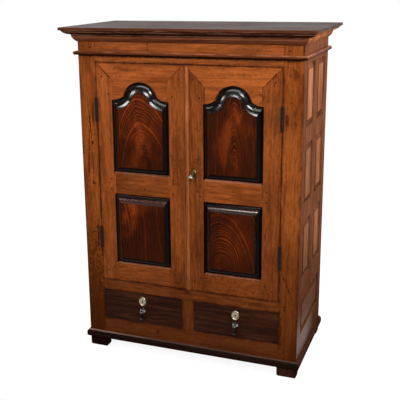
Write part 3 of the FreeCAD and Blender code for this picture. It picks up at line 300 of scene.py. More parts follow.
def solids_of(mesh):
    """The vertex numbers of each separate solid in a mesh, from the lowest up and then from the left."""
    leader = list(range(len(mesh.vertices)))

    def first(vertex):
        while leader[vertex] != vertex:
            leader[vertex] = leader[leader[vertex]]
            vertex = leader[vertex]
        return vertex

    for edge in mesh.edges:
        leader[first(edge.vertices[0])] = first(edge.vertices[1])
    solids = {}
    for vertex in range(len(mesh.vertices)):
        solids.setdefault(first(vertex), []).append(vertex)

    def place(solid):
        middle = sum((mesh.vertices[v].co for v in solid), Vector()) / len(solid)
        return round(middle.z, 2), round(middle.x, 2), round(middle.y, 2)

    return sorted(solids.values(), key=place)


def lay_grain(piece, lengthways=None, cuts=(), shade=None):
    """Writes on each vertex where it lies in the tree its board was sawn from: along the trunk, and across
    it from the pith. A cut gives a solid's pith, across and behind its middle, its slope along the board,
    and how fast the tree grew."""
    chance = random.Random(piece.name)
    mesh = piece.data
    for name, kind in (("grain", "FLOAT_VECTOR"), ("tone", "FLOAT")):
        mesh.attributes.new(name, kind, "POINT")
    grain, tone = mesh.attributes["grain"].data, mesh.attributes["tone"].data
    for number, solid in enumerate(solids_of(mesh)):
        points = [mesh.vertices[v].co for v in solid]
        low, high = (Vector([pick(p[i] for p in points) for i in range(3)]) for pick in (min, max))
        size, middle = high - low, (low + high) / 2
        along = max(range(3), key=lambda i: size[i]) if lengthways is None else lengthways
        thin, across = sorted((i for i in range(3) if i != along), key=lambda i: size[i])
        start, tint = chance.uniform(0, 30), chance.uniform(-1, 1) if shade is None else shade
        pith = (chance.uniform(-0.7, 0.7) * size[across], chance.uniform(0.015, 0.07),
                chance.uniform(-0.05, 0.05))
        aside, behind, slope, growth = cuts[number] if number < len(cuts) else (*pith, 1.0)
        for v, point in zip(solid, points):
            p = point - middle
            from_pith = p[across] - aside, p[thin] + behind + slope * p[along]
            grain[v].vector = p[along] + start, from_pith[0] / growth, from_pith[1] / growth
            tone[v].value = tint


def worked(node, arris, finish, lengthways=None, cuts=(), shade=None, fold=28, smooth=40, reshape=None):
    """A node of the frame as the maker finished it: welded, its edges eased by arris where they fold by more
    degrees than fold, shaded smooth below smooth degrees, and its grain laid."""
    piece = bpy.data.objects.new(node + "_worked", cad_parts[node].data.copy())
    piece.data.transform(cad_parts[node].matrix_world)
    bpy.context.scene.collection.objects.link(piece)
    bpy.ops.object.select_all(action="DESELECT")
    piece.select_set(True)
    bpy.context.view_layer.objects.active = piece
    piece.data.materials.clear()
    piece.data.materials.append(finish)
    bpy.ops.object.mode_set(mode="EDIT")
    bpy.ops.mesh.select_all(action="SELECT")
    bpy.ops.mesh.customdata_custom_splitnormals_clear()
    bpy.ops.mesh.remove_doubles(threshold=WELD_GAP)
    bpy.ops.mesh.dissolve_limited(angle_limit=math.radians(FLAT_TURN))
    bpy.ops.object.mode_set(mode="OBJECT")
    piece.data.materials.append(finish)
    if arris:
        ease = piece.modifiers.new("eased edges", "BEVEL")
        ease.width, ease.segments, ease.material = arris, EASE_STEPS, 1
        ease.limit_method, ease.angle_limit = "ANGLE", math.radians(fold)
        bpy.ops.object.modifier_apply(modifier=ease.name)
    edges = piece.data.attributes.new("arris", "FLOAT", "FACE").data
    for face in piece.data.polygons:
        edges[face.index].value = face.material_index
        face.material_index = 0
    piece.data.materials.pop(index=1)
    if reshape:
        reshape(piece.data)
    bpy.ops.object.shade_smooth_by_angle(angle=math.radians(smooth))
    flats = piece.modifiers.new("true flats", "WEIGHTED_NORMAL")
    flats.keep_sharp, flats.weight = True, 100
    bpy.ops.object.modifier_apply(modifier=flats.name)
    lay_grain(piece, lengthways, cuts, shade)
    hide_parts(node)
    return piece


def finish_faces(piece, finishes, choose):
    """Gives a piece further finishes, and each face the one whose number is chosen for it."""
    for finish in finishes:
        piece.data.materials.append(finish)
    for face in piece.data.polygons:
        face.material_index = int(choose(face))


def polish_low(material, weight):
    """A little polish left low down on the sides, towards the front."""
    tree = material.node_tree
    place = parts_of(tree, place_on(tree))
    low_down = between(tree, place["Z"], *POLISH_HEIGHTS)
    forward = between(tree, place["Y"], *POLISH_DEPTHS)
    shader = tree.nodes["Principled BSDF"]
    tree.links.new(product(tree, low_down, forward, weight), shader.inputs["Coat Weight"])
    shader.inputs["Coat Roughness"].default_value = POLISH_DULLNESS


# Painted shadow lines along the gaps above, below and beside the doors.
DOOR_GAP_SHADOWS = (mark(0.0, 0.9647, 0.4, 0.0024, 1.0), mark(0.0, 0.2515, 0.4, 0.0024, 0.9),
               mark(-0.2965, 0.608, 0.0018, 0.48, 0.8), mark(0.2965, 0.608, 0.0018, 0.48, 0.8))
BAND_SHADOW = mark(0.0, 0.9842, 0.7, 0.004, 1.0)
POST_CRACKS = (
    mark(-0.3225, 0.755, 0.0036, 0.07, 0.9, lean=-3), mark(-0.318, 0.64, 0.0032, 0.06, 0.8),
    mark(-0.331, 0.68, 0.003, 0.14, 0.85, lean=3), mark(-0.3165, 0.5757, 0.009, 0.0034, 1.0),
    mark(-0.3205, 0.4105, 0.011, 0.0034, 1.0), mark(0.3097, 0.331, 0.0022, 0.026, 1.0, lean=-25.7),
    mark(0.3243, 0.2974, 0.0019, 0.024, 1.0, lean=-21.1))
POST_HOLES = (mark(-0.3216, 0.5768, 0.004, 0.009, 1.0), mark(-0.3182, 0.7096, 0.006, 0.0085, 1.0),
              mark(-0.3098, 0.7376, 0.004, 0.005, 0.8))
# The first of these darkens the lower left post as painted shade; the others are stains.
POST_STAINS_AND_SHADE = (
    mark(-0.33, 0.12, 0.07, 0.32, 0.72), mark(-0.312, 0.8, 0.006, 0.06, 0.7),
    mark(-0.31, 0.4, 0.006, 0.07, 0.7), mark(0.332, 0.835, 0.012, 0.014, 0.35, lean=10),
    mark(0.334, 0.805, 0.006, 0.012, 0.5), mark(0.31, 0.81, 0.007, 0.03, 0.8),
    mark(0.328, 0.945, 0.022, 0.02, 0.55), mark(0.301, 0.155, 0.009, 0.1, 0.7),
    mark(0.309, 0.6, 0.005, 0.1, 0.4), mark(0.34, 0.09, 0.02, 0.05, 0.4))
POST_TEAK = wood_finish("post_teak", early=(0.31, 0.08, 0.016), late=(0.14, 0.03, 0.006),
                        streak=(0.11, 0.023, 0.005), floor_line=0.72, grime=0.7, lustre=0.006,
                        marks=(*DOOR_GAP_SHADOWS, BAND_SHADOW, *POST_CRACKS, *POST_HOLES, *POST_STAINS_AND_SHADE))
# teak painted greyer, for the sheen reflected off the side faces
SIDE_TEAK = wood_finish("side_teak", early=(0.19, 0.07, 0.033), late=(0.09, 0.03, 0.013),
                        streak=(0.08, 0.026, 0.011), lustre=0.0)
polish_low(SIDE_TEAK, 0.32)
for node in ("post_front_left", "post_front_right", "rear_posts"):
    post = worked(node, POST_ARRIS, POST_TEAK)
    # the side faces take the greyer teak, painted for their sheen
    finish_faces(post, (SIDE_TEAK,), lambda face: node == "rear_posts" or abs(face.normal.x) > SIDE_FACING)
    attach(post, "carcase")


# Front rails and the divider. Frieze rail, drawer rail and base rail of teak are tenoned into the posts and
# pegged, flush with them, and a short upright between the drawers is tenoned into the two lower rails.
RAIL_ARRIS = 0.0008
RAIL_SHADES = {"frieze_rail": 0.5, "drawer_rail": -1.6, "base_rail": -1.2, "drawer_divider": -1.2}
RAIL_CRACKS = (mark(-0.1062, 0.0843, 0.008, 0.012, 0.8), mark(-0.03, 0.247, 0.022, 0.0035, 1.0, lean=-6),
               mark(-0.12, 1.01, 0.002, 0.02, 0.8))
RAIL_STAINS = (
    mark(0.0, 0.24, 0.02, 0.008, 0.6), mark(-0.2, 0.06, 0.09, 0.014, 0.5),
    mark(0.15, 0.065, 0.12, 0.012, 0.5), mark(0.22, 0.23, 0.05, 0.01, 0.5),
    mark(0.2, 1.012, 0.06, 0.006, 0.4))
RAIL_TEAK = wood_finish("rail_teak", early=(0.32, 0.083, 0.018), late=(0.15, 0.033, 0.008),
                        streak=(0.11, 0.024, 0.006), grime=0.75,
                        marks=(*DOOR_GAP_SHADOWS, BAND_SHADOW, *RAIL_CRACKS, *RAIL_STAINS))
for node, shade in RAIL_SHADES.items():
    rail = worked(node, RAIL_ARRIS, RAIL_TEAK, shade=shade)
    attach(rail, "carcase")


# Frame pegs. Split hardwood pegs, driven through the tenons of the front frame and cut off flush, so that
# their dark end grain shows. They hold the rails to the posts.
PEG_ARRIS = 0.0003
PEG_END = wood_finish("peg_end", early=(0.09, 0.02, 0.006), late=(0.05, 0.011, 0.004),
                      streak=(0.05, 0.011, 0.004), ring_width=0.0012, wander=0.0006, dullness=0.55)
carcase_pegs = worked("carcase_pegs", PEG_ARRIS, PEG_END)
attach(carcase_pegs, "carcase")


# Side frames. Rails and muntins of teak, left sharp at the edges, hold raised panels that run in their
# grooves and are free to move. The side panels are painted paler and greyer than the front, for the light
# and the sheen on them; their bevels are painted dark as shade, the level ones less so, and the low panel
# is painted darker, as less light reaches it.
SHARP, SIDE_PANEL_ARRIS, LOW_PANEL_TOP = 0, 0.0006, 0.25
BEVEL_LEAST, BEVEL_MOST = 0.5, 0.99
# paler and greyer teak, painted for the light and sheen on the side panels
PANEL_TEAK = wood_finish("side_panel_teak", early=(0.33, 0.135, 0.066), late=(0.17, 0.06, 0.027),
                         streak=(0.13, 0.044, 0.019), lustre=0.0, grime=0.8)
# painted shade in the upright bevels
BEVEL_TEAK = wood_finish("side_bevel_teak", early=(0.1, 0.032, 0.014), late=(0.05, 0.015, 0.006),
                         streak=(0.04, 0.012, 0.005), lustre=0.0, grime=0.8)
# lighter painted shade in the level bevels
LEVEL_BEVEL_TEAK = wood_finish("level_bevel_teak", early=(0.17, 0.06, 0.028), late=(0.08, 0.026, 0.011),
                               streak=(0.06, 0.02, 0.008), lustre=0.0, grime=0.8)
# the low panel painted darker, as less light reaches it
LOW_PANEL_TEAK = wood_finish("low_panel_teak", early=(0.25, 0.1, 0.052), late=(0.12, 0.045, 0.021),
                             streak=(0.1, 0.035, 0.016), lustre=0.0, dullness=0.3, grime=0.7)
polish_low(LOW_PANEL_TEAK, 0.2)


def side_panel_finish(face):
    """The finish of a side panel's face, with painted light and shade: field, upright bevel, field of the low
    panel or level bevel.
    """
    if BEVEL_LEAST < abs(face.normal.x) < BEVEL_MOST:
        return 3 if abs(face.normal.z) > abs(face.normal.y) else 1
    return 2 if face.center.z < LOW_PANEL_TOP else 0


for side in ("left", "right"):
    # the side rails in the greyer teak, painted for their sheen
    side_rails = worked(f"{side}_side_rails", SHARP, SIDE_TEAK)
    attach(side_rails, "carcase")
    side_panels = worked(f"{side}_side_panels", SIDE_PANEL_ARRIS, PANEL_TEAK, fold=8, smooth=10)
    finish_faces(side_panels, (BEVEL_TEAK, LOW_PANEL_TEAK, LEVEL_BEVEL_TEAK), side_panel_finish)
    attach(side_panels, "carcase")


# Back. Five plain upright boards of a lesser wood, left from the saw, are nailed over three back rails
# between the rear posts. They stand a little apart, so that they can swell.
BACK_WOOD = wood_finish("back_wood", early=(0.24, 0.12, 0.055), late=(0.14, 0.066, 0.03),
                        streak=(0.12, 0.055, 0.025), dullness=0.62, tone_share=0.22)
for node, arris in (("back_rails", 0.0009), ("back_boards", 0.0006)):
    back = worked(node, arris, BACK_WOOD)
    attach(back, "carcase")


# Inside. Floor, shelves, ledgers and drawer runners of a plain wood, planed but not waxed. The floor
# closes the cupboard above the drawers, the shelves lie on ledgers at the sides, and the drawers slide on
# the runners.
INNER_ARRIS = 0.0008
INNER_WOOD = wood_finish("inner_wood", early=(0.26, 0.13, 0.06), late=(0.16, 0.075, 0.034),
                         streak=(0.14, 0.06, 0.028), dullness=0.58, tone_share=0.18, floor_line=0.2)
for node in ("cupboard_floor", "shelves", "shelf_ledgers", "drawer_runners"):
    inner = worked(node, INNER_ARRIS, INNER_WOOD)
    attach(inner, "carcase")


# Top board. One wide board of dark teak with a thin square edge, laid on the frame and the cornice. Its
# front edge is redder than its face, and rubbed pale in places.
TOP_ARRIS, FRONT_TURN = 0.0018, -0.3
TOP_TEAK = wood_finish("top_teak", early=(0.055, 0.024, 0.016), late=(0.027, 0.012, 0.008),
                       streak=(0.02, 0.009, 0.006), dullness=0.36, lustre=0.016, grime=0.0, seam_dirt_and_shade=0.0)
EDGE_TEAK = wood_finish("top_edge_teak", early=(0.1, 0.03, 0.014), late=(0.05, 0.014, 0.007),
                        streak=(0.04, 0.011, 0.006), dullness=0.36, lustre=0.02, grime=0.0, seam_dirt_and_shade=0.0,
                        worn=(0.3, 0.13, 0.07), wear=0.6)
top_board = worked("top_board", TOP_ARRIS, TOP_TEAK)
finish_faces(top_board, (EDGE_TEAK,), lambda face: face.normal.y < FRONT_TURN)
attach(top_board, "carcase")


# Cornice. Lengths of dark teak, run with moulding planes, mitred round the corners and nailed to the frame.
# The lower moulding is painted paler than the upper one, where light catches it, painted highlight lines run
# along the rounds, and the sides are painted far paler, for the light from the right.
CORNICE_ARRIS, CORNICE_QUIRK = 0.0009, 1.0455
LINE_REACH, LINE_CORE = 0.002, 0.0006


def retouch(material, share, colour):
    """Lays a colour over a finish, by a share worked out in its own tree."""
    tree = material.node_tree
    base = tree.nodes["Principled BSDF"].inputs["Base Color"]
    tree.links.new(tinted(tree, share, base.links[0].from_socket, pigment(colour)), base)


def paint_highlight_lines(material, heights, colour):
    """Lays painted highlight lines along a moulding's rounds at those heights, broken up unevenly."""
    tree = material.node_tree
    place = place_on(tree)
    height = parts_of(tree, place)["Z"]
    lines = 0.0
    for level in heights:
        line = between(tree, distance(tree, height, level), LINE_REACH, LINE_CORE)
        lines = reckon(tree, "MAXIMUM", lines, line)
    unevenness = speckle(tree, place, (14, 14, 40), detail=4, roughness=0.65)
    patchy = between(tree, unevenness, 0.36, 0.6, 0.15, 0.9)
    retouch(material, product(tree, lines, patchy), colour)


CORNICE_TEAK = wood_finish("cornice_teak", early=(0.048, 0.0145, 0.0068), late=(0.03, 0.008, 0.004),
                           streak=(0.022, 0.006, 0.003), dullness=0.35, lustre=0.0, grime=0.0, seam_dirt_and_shade=0.0)
# painted highlight lines along the rounds of the upper moulding
paint_highlight_lines(CORNICE_TEAK, (1.0575, 1.047), (0.3, 0.135, 0.08))
# the lower moulding painted paler, where light catches it
CORNICE_LOW_TEAK = wood_finish("cornice_low_teak", early=(0.16, 0.048, 0.02), late=(0.08, 0.021, 0.009),
                               streak=(0.055, 0.014, 0.006), dullness=0.35, lustre=0.0, grime=0.0, seam_dirt_and_shade=0.0)
# a painted highlight line along the round of the lower moulding
paint_highlight_lines(CORNICE_LOW_TEAK, (1.0405,), (0.3, 0.11, 0.05))
# the sides painted far paler, for the light from the right; their edges are worn
CORNICE_SIDE_TEAK = wood_finish("cornice_side_teak", early=(0.36, 0.13, 0.055), late=(0.2, 0.066, 0.026),
                                streak=(0.18, 0.055, 0.02), lustre=0.0, grime=0.0, seam_dirt_and_shade=0.0,
                                worn=(0.5, 0.22, 0.12), wear=0.5)


def cornice_finish(face):
    """The finish of a face of the cornice: upper moulding, side or lower moulding, the last two painted paler
    for their light.
    """
    if abs(face.normal.x) > abs(face.normal.y):
        return 1
    return 2 if face.center.z < CORNICE_QUIRK else 0


cornice = worked("cornice_moulding", CORNICE_ARRIS, CORNICE_TEAK)
finish_faces(cornice, (CORNICE_SIDE_TEAK, CORNICE_LOW_TEAK), cornice_finish)
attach(cornice, "carcase")


# Band. A half-round length of teak across the frieze, mitred round the corners and nailed on. Its nose
# carries a painted highlight line, and its underside is painted black as shade.
BAND_ARRIS, UNDERSIDE = 0.0005, -0.3
BAND_TEAK = wood_finish("band_teak", early=(0.13, 0.03, 0.008), late=(0.07, 0.016, 0.005),
                        streak=(0.05, 0.012, 0.004), dullness=0.34, lustre=0.012)
# a painted highlight line along the nose of the band
paint_highlight_lines(BAND_TEAK, (0.9968,), (0.34, 0.13, 0.07))
# the underside painted black as shade
BAND_UNDERSIDE_SHADE = wood_finish("band_under_teak", early=(0.024, 0.008, 0.004), late=(0.012, 0.004, 0.002),
                              streak=(0.01, 0.0035, 0.002), dullness=0.45, lustre=0.0, grime=0.0, seam_dirt_and_shade=0.0)
band = worked("band_moulding", BAND_ARRIS, BAND_TEAK)
# faces turned down take the painted shade
finish_faces(band, (BAND_UNDERSIDE_SHADE,), lambda face: face.normal.z < UNDERSIDE)
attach(band, "carcase")


# Base moulding. A rounded length of dark teak round the foot of the case, mitred at the corners and nailed
# on. Its upper edge carries a painted highlight at the left of the front that fades dark further on; the
# sides are painted browner, for the light from the right.
BASE_ARRIS, BASE_FRONT, BASE_SIDE, UPPER_EDGE = 0.0016, -0.155, 0.354, 0.8
HIGHLIGHT_FADE_FROM, HIGHLIGHT_FADE_TO, HIGHLIGHT_FADE_DEPTH = -0.3, -0.1, 0.8
BASE_TEAK = wood_finish("base_teak", early=(0.02, 0.0085, 0.0055), late=(0.01, 0.004, 0.0027),
                        streak=(0.008, 0.003, 0.0022), dullness=0.3, lustre=0.0, grime=0.2, seam_dirt_and_shade=0.0)
# a painted highlight on the upper edge of the front
BASE_HIGHLIGHT_TEAK = wood_finish("rubbed_teak", early=(0.2, 0.12, 0.09), late=(0.1, 0.055, 0.04),
                          streak=(0.06, 0.032, 0.024), dullness=0.35, lustre=0.08, grime=0.0, seam_dirt_and_shade=0.0)
tree = BASE_HIGHLIGHT_TEAK.node_tree
# the painted highlight fades dark towards the right
polish = between(tree, parts_of(tree, place_on(tree))["X"], HIGHLIGHT_FADE_FROM, HIGHLIGHT_FADE_TO, 0.0, HIGHLIGHT_FADE_DEPTH)
retouch(BASE_HIGHLIGHT_TEAK, polish, (0.03, 0.012, 0.008))
# the sides painted browner, for the light from the right
BASE_SIDE_TEAK = wood_finish("base_side_teak", early=(0.075, 0.028, 0.015), late=(0.035, 0.012, 0.006),
                             streak=(0.028, 0.009, 0.005), dullness=0.4, lustre=0.0, grime=0.3, seam_dirt_and_shade=0.0)


def base_finish(face):
    """The finish of a face of the base moulding: front, painted highlight on the upper edge of the front or
    side painted browner for its light.
    """
    if abs(face.center.x) > BASE_SIDE and face.center.y > BASE_FRONT:
        return 2
    return face.normal.z > UPPER_EDGE and face.center.y < BASE_FRONT


base = worked("base_moulding", BASE_ARRIS, BASE_TEAK)
finish_faces(base, (BASE_HIGHLIGHT_TEAK, BASE_SIDE_TEAK), base_finish)
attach(base, "carcase")


# Feet. Four blocks of dark wood with eased edges, glued and pinned under the corners, near black, the left
# one in front darkest of all.
FOOT_ARRIS, UPRIGHT = 0.0014, 2
# a dark patch lies over the left front foot
FOOT_WOOD = wood_finish("foot_wood", early=(0.085, 0.033, 0.018), late=(0.04, 0.016, 0.01),
                        streak=(0.034, 0.014, 0.008), dullness=0.42, lustre=0.0, grime=0.45,
                        marks=(mark(-0.33, 0.02, 0.1, 0.1, 1.0),))
feet = worked("feet", FOOT_ARRIS, FOOT_WOOD, lengthways=UPRIGHT)
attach(feet, "carcase")


# Door frames. Stiles and rails of teak, tenoned and pegged, mitred at the head, with the upper rail cut to
# an arch. Every inner edge is chamfered towards the panel and painted black as shade, like the border, but
# for the sills facing up, which carry a painted highlight.
DOOR_ARRIS = 0.0007
CHAMFER_TURN, CHAMFER_PLAY, CHAMFER_DEPTH, SILL_TURN = 0.707, 0.1, 0.0015, 0.5
DOOR_BOARDS = "hinge_stile", "meeting_stile", "top_rail", "mid_rail", "bottom_rail"
BOARD_SHADES = {"left": (-0.4, -0.9, 0.5, -2.0, -0.7), "right": (-1.8, -2.2, 0.3, -0.7, -0.8)}
BOARD_CUTS = {("right", "bottom_rail"): ((0.05, 0.12, 0.9, 0.8),)}
# painted shade on the chamfers that face down and aside
CHAMFER_SHADE = wood_finish("black_stain", early=(0.008, 0.005, 0.004), late=(0.004, 0.003, 0.0025),
                          streak=(0.005, 0.0035, 0.003), dullness=0.4)
# a painted highlight on the sills that face up
SILL_HIGHLIGHT = wood_finish("worn_sill", early=(0.25, 0.09, 0.042), late=(0.12, 0.04, 0.018),
                        streak=(0.08, 0.025, 0.011), dullness=0.35, lustre=0.05, grime=0.3, seam_dirt_and_shade=0.0,
                        mottle=2.0)
HEAD_MITRES = (
    mark(-0.268, 0.936, 0.0026, 0.048, 0.9, lean=-45), mark(-0.034, 0.938, 0.0022, 0.044, 0.5, lean=45),
    mark(0.027, 0.933, 0.0024, 0.052, 0.8, lean=-45), mark(0.266, 0.934, 0.0026, 0.05, 0.9, lean=45))
DOOR_CRACKS = (
    mark(-0.0465, 0.676, 0.0022, 0.018, 0.8, lean=-16), mark(0.236, 0.87, 0.004, 0.02, 0.5, lean=30),
    mark(0.2503, 0.4533, 0.0025, 0.018, 0.7), mark(-0.1409, 0.5684, 0.004, 0.003, 0.9))
DOOR_KNOTS = (
    mark(-0.0379, 0.6016, 0.012, 0.007, 0.4, lean=20, hollow=1),
    mark(0.272, 0.926, 0.006, 0.014, 0.4, hollow=1),
    mark(0.0347, 0.772, 0.009, 0.006, 0.4, lean=20, hollow=1),
    mark(0.031, 0.674, 0.01, 0.007, 0.45, lean=-15, hollow=1))
DOOR_STAINS = (
    mark(0.036, 0.58, 0.006, 0.01, 0.35), mark(0.231, 0.884, 0.012, 0.006, 0.35, lean=35),
    mark(0.287, 0.58, 0.006, 0.08, 0.4), mark(-0.035, 0.27, 0.012, 0.006, 0.6),
    mark(0.15, 0.94, 0.1, 0.008, 0.4), mark(-0.2, 0.945, 0.05, 0.008, 0.4),
    mark(0.03, 0.64, 0.028, 0.05, 0.35), mark(-0.03, 0.7, 0.02, 0.12, 0.3))
DOOR_TEAK = wood_finish("door_teak", early=(0.33, 0.083, 0.017), late=(0.15, 0.032, 0.006),
                        streak=(0.115, 0.024, 0.005), floor_line=0.7, grime=0.6,
                        marks=(*DOOR_GAP_SHADOWS, *HEAD_MITRES, *DOOR_CRACKS, *DOOR_KNOTS, *DOOR_STAINS))


def blacken_chamfers(member):
    """Gives the chamfers about an opening painted shade, and the sills below it a painted highlight."""
    face_line = min(vertex.co.y for vertex in member.data.vertices)

    def chamfer_finish(face):
        sloped = abs(face.normal.y + CHAMFER_TURN) < CHAMFER_PLAY
        if sloped and face.center.y - face_line > CHAMFER_DEPTH:
            return 2 if face.normal.z > SILL_TURN else 1
        return 0

    finish_faces(member, (CHAMFER_SHADE, SILL_HIGHLIGHT), chamfer_finish)


for side in ("left", "right"):
    door = f"{side}_door"
    for part, shade in zip(DOOR_BOARDS, BOARD_SHADES[side]):
        member = worked(f"{door}_{part}", DOOR_ARRIS, DOOR_TEAK, cuts=BOARD_CUTS.get((side, part), ()),
                        shade=shade)
        blacken_chamfers(member)
        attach(member, door)
    pegs = worked(f"{door}_pegs", PEG_ARRIS, PEG_END)
    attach(pegs, door)


# Door panels. Raised panels of figured rosewood, polished, run in the grooves of the frame. Each upper one
# is cut to show the rings of the tree as nested arches.
DOOR_PANEL_ARRIS = 0.0005
PANEL_CUTS = {
    "left": ((-0.11, 0.06, 0.12, 1.9), (0.005, 0.075, 0.42, 1.15)),
    "right": ((-0.035, 0.07, 0.5, 1.6), (0.004, 0.028, 0.16, 0.9)),
}
HEARTWOOD = {  # middle x, middle z, reach across, reach up, strength
    "left": ((-0.148, 0.83, 0.13, 0.16, 1.0), (-0.205, 0.49, 0.05, 0.09, 0.7)),
    "right": ((0.16, 0.76, 0.06, 0.17, 0.4), (0.15, 0.42, 0.09, 0.1, 0.75)),
}
HEART_FADE, HEART_CORE, DARK_SHARE, DARK_GROUND = 1.15, 0.2, 0.7, (0.012, 0.003, 0.0015)


def rosewood(side):
    """Rosewood for one door: pale rings on a dark ground, and patches of warm heartwood."""
    material = wood_finish(f"{side}_panel_rosewood", early=(0.042, 0.0068, 0.0018), late=(0.37, 0.06, 0.008),
                           streak=DARK_GROUND, ring_width=0.0027, wander=0.02, ring_share=0.75,
                           sharpness=2.6, streak_share=0.5, dullness=0.36, lustre=0.03, mottle=0.6)
    tree = material.node_tree
    place = parts_of(tree, place_on(tree))
    warmth = 0.0
    for x, z, across, up, strength in HEARTWOOD[side]:
        sides = [reckon(tree, "DIVIDE", reckon(tree, "SUBTRACT", place[axis], centre), reach)
                 for axis, centre, reach in (("X", x, across), ("Z", z, up))]
        patch = between(tree, slant(tree, *sides), HEART_FADE, HEART_CORE, 0.0, strength)
        warmth = reckon(tree, "MAXIMUM", warmth, patch)
    retouch(material, between(tree, warmth, 0, 1, DARK_SHARE, 0.0), DARK_GROUND)
    return material


for side in ("left", "right"):
    panels = worked(f"{side}_door_panels", DOOR_PANEL_ARRIS, rosewood(side), lengthways=UPRIGHT,
                    cuts=PANEL_CUTS[side], shade=0)
    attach(panels, f"{side}_door")


# Panel borders. Lengths of black ebony, planed to a round, mitred about each panel and polished like glass.
# The arched heads swell up to their inner edge. The lengths left of the panels and above the lower ones have
# red-brown crests.
BORDER_ARRIS = 0.0002
EBONY = dict(early=(0.006, 0.0035, 0.0026), late=(0.0025, 0.0018, 0.0015), streak=(0.003, 0.002, 0.0016),
             ring_share=0.3, raised=0.0)
BORDER_EBONY = wood_finish("border_ebony", **EBONY, dullness=0.16, lustre=0.07, grime=0.1, mottle=0.5)
HEAD_EBONY = wood_finish("head_ebony", **EBONY, dullness=0.17, lustre=0.6, grime=0.0, mottle=0.3)
RED_CREST_EBONY = wood_finish("rubbed_ebony", early=(0.045, 0.01, 0.004), late=(0.018, 0.0045, 0.002),
                           streak=(0.012, 0.004, 0.002), dullness=0.2, lustre=0.03, grime=0.1, raised=0.0)
TOP_EBONY = wood_finish("top_ebony", early=(0.05, 0.013, 0.006), late=(0.02, 0.0055, 0.0028),
                        streak=(0.012, 0.004, 0.002), dullness=0.22, lustre=0.7, grime=0.1, raised=0.02)
PANEL_OPENINGS = (-0.24, -0.06), (0.06, 0.236)
SHOULDERS, UPPER_FOOT, LOWER_HEAD, LOWER_FOOT = 0.845, 0.62, 0.544, 0.316
ARCH_RADIUS, ARCH_MIDDLE, ARCH_TURN, NOTCH_LINE = 0.054, 0.848, math.radians(79), 0.8585
MITRE, MITRE_PLAY, TURNED_OUT_LIMIT, NO_TOP = 1.46, 0.0004, 0.5, 1.0
HEAD_WIDTH, HEAD_FILLET, HEAD_GROUND, GROUND_PLAY = 0.025, 0.0039, -0.1505, 0.0003
HEAD_SLOPE, HEAD_SWELL = 0.0037, 0.0052


def border_length(place):
    """Which length of a border a place lies on: head, top, foot, left or right."""
    left, right = PANEL_OPENINGS[place.x > 0]
    inset = {"left": place.x - left, "right": right - place.x}
    upper = place.z > (LOWER_HEAD + UPPER_FOOT) / 2
    if upper and place.z > SHOULDERS - MITRE * min(inset.values()) + MITRE_PLAY:
        return "head"
    inset["foot"] = place.z - (UPPER_FOOT if upper else LOWER_FOOT)
    inset["top"] = NO_TOP if upper else LOWER_HEAD - place.z
    return min(inset, key=inset.get)


def head_inset(place):
    """How far inside an arched head's outline a place lies, and which way the outline is."""
    left, right = PANEL_OPENINGS[place.x > 0]
    across, half_width = place.x - (left + right) / 2, (right - left) / 2
    from_arch = Vector((across, place.z - ARCH_MIDDLE))
    run = half_width - ARCH_RADIUS * math.sin(ARCH_TURN)
    rise = ARCH_MIDDLE + ARCH_RADIUS * math.cos(ARCH_TURN) - SHOULDERS
    flare = (run ** 2 + rise ** 2) / (2 * rise)
    to_flare = Vector((math.copysign(half_width, across) - across, SHOULDERS + flare - place.z))
    in_arch, in_flare = ARCH_RADIUS - from_arch.length, to_flare.length - flare
    if place.z > NOTCH_LINE or in_arch > in_flare:
        return in_arch, from_arch.normalized()
    return in_flare, to_flare.normalized()


def head_section(inset):
    """Height and steepness of an arched head's swelling slope, so far inside its outline."""
    run = HEAD_WIDTH - HEAD_FILLET
    share = min(1.0, max(0.0, (inset - HEAD_FILLET) / run))
    height = HEAD_SLOPE * share + HEAD_SWELL * (1 - (1 - share) ** 3)
    return height, (HEAD_SLOPE + 3 * HEAD_SWELL * (1 - share) ** 2) / run


def swell_heads(mesh):
    """Works the arched heads to their section."""
    for vertex in mesh.vertices:
        if vertex.co.y < HEAD_GROUND - GROUND_PLAY and border_length(vertex.co) == "head":
            vertex.co.y = HEAD_GROUND - head_section(head_inset(vertex.co)[0])[0]


def smooth_heads(mesh):
    """Shades the slope of the arched heads by their section."""
    normals = [corner.vector.copy() for corner in mesh.corner_normals]
    for face in mesh.polygons:
        on_head = border_length(face.center) == "head" and face.normal.y < FRONT_TURN
        if on_head and head_inset(face.center)[0] > HEAD_FILLET:
            for corner in face.loop_indices:
                inset, outward = head_inset(mesh.vertices[mesh.loops[corner].vertex_index].co)
                steepness = head_section(inset)[1]
                normals[corner] = Vector((outward.x * steepness, -1, outward.y * steepness)).normalized()
    mesh.normals_split_custom_set(normals)


def border_finish(face):
    """The finish of a border's face, by its length. Faces that turn out to the frame stay black."""
    length = border_length(face.center)
    turned_out = {"left": -face.normal.x, "top": face.normal.z}.get(length, 0.0) > TURNED_OUT_LIMIT
    return 0 if turned_out else {"head": 1, "left": 2, "top": 3}.get(length, 0)


for side in ("left", "right"):
    borders = worked(f"{side}_door_borders", BORDER_ARRIS, BORDER_EBONY, reshape=swell_heads)
    finish_faces(borders, (HEAD_EBONY, RED_CREST_EBONY, TOP_EBONY), border_finish)
    smooth_heads(borders.data)
    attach(borders, f"{side}_door")


# Meeting strip. A bead of teak with a quirk beside it, planed on one length and glued to the edge of the
# right door. It covers the joint of the doors, and is painted paler than the stiles, for the light on its
# bead.
STRIP_ARRIS = 0.0005
# teak painted paler, for the light that falls on the bead
STRIP_TEAK = wood_finish("strip_teak", early=(0.38, 0.115, 0.034), late=(0.2, 0.055, 0.016),
                         streak=(0.13, 0.032, 0.009), dullness=0.35, lustre=0.05, floor_line=0.7)
meeting_strip = worked("meeting_strip", STRIP_ARRIS, STRIP_TEAK)
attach(meeting_strip, "right_door")


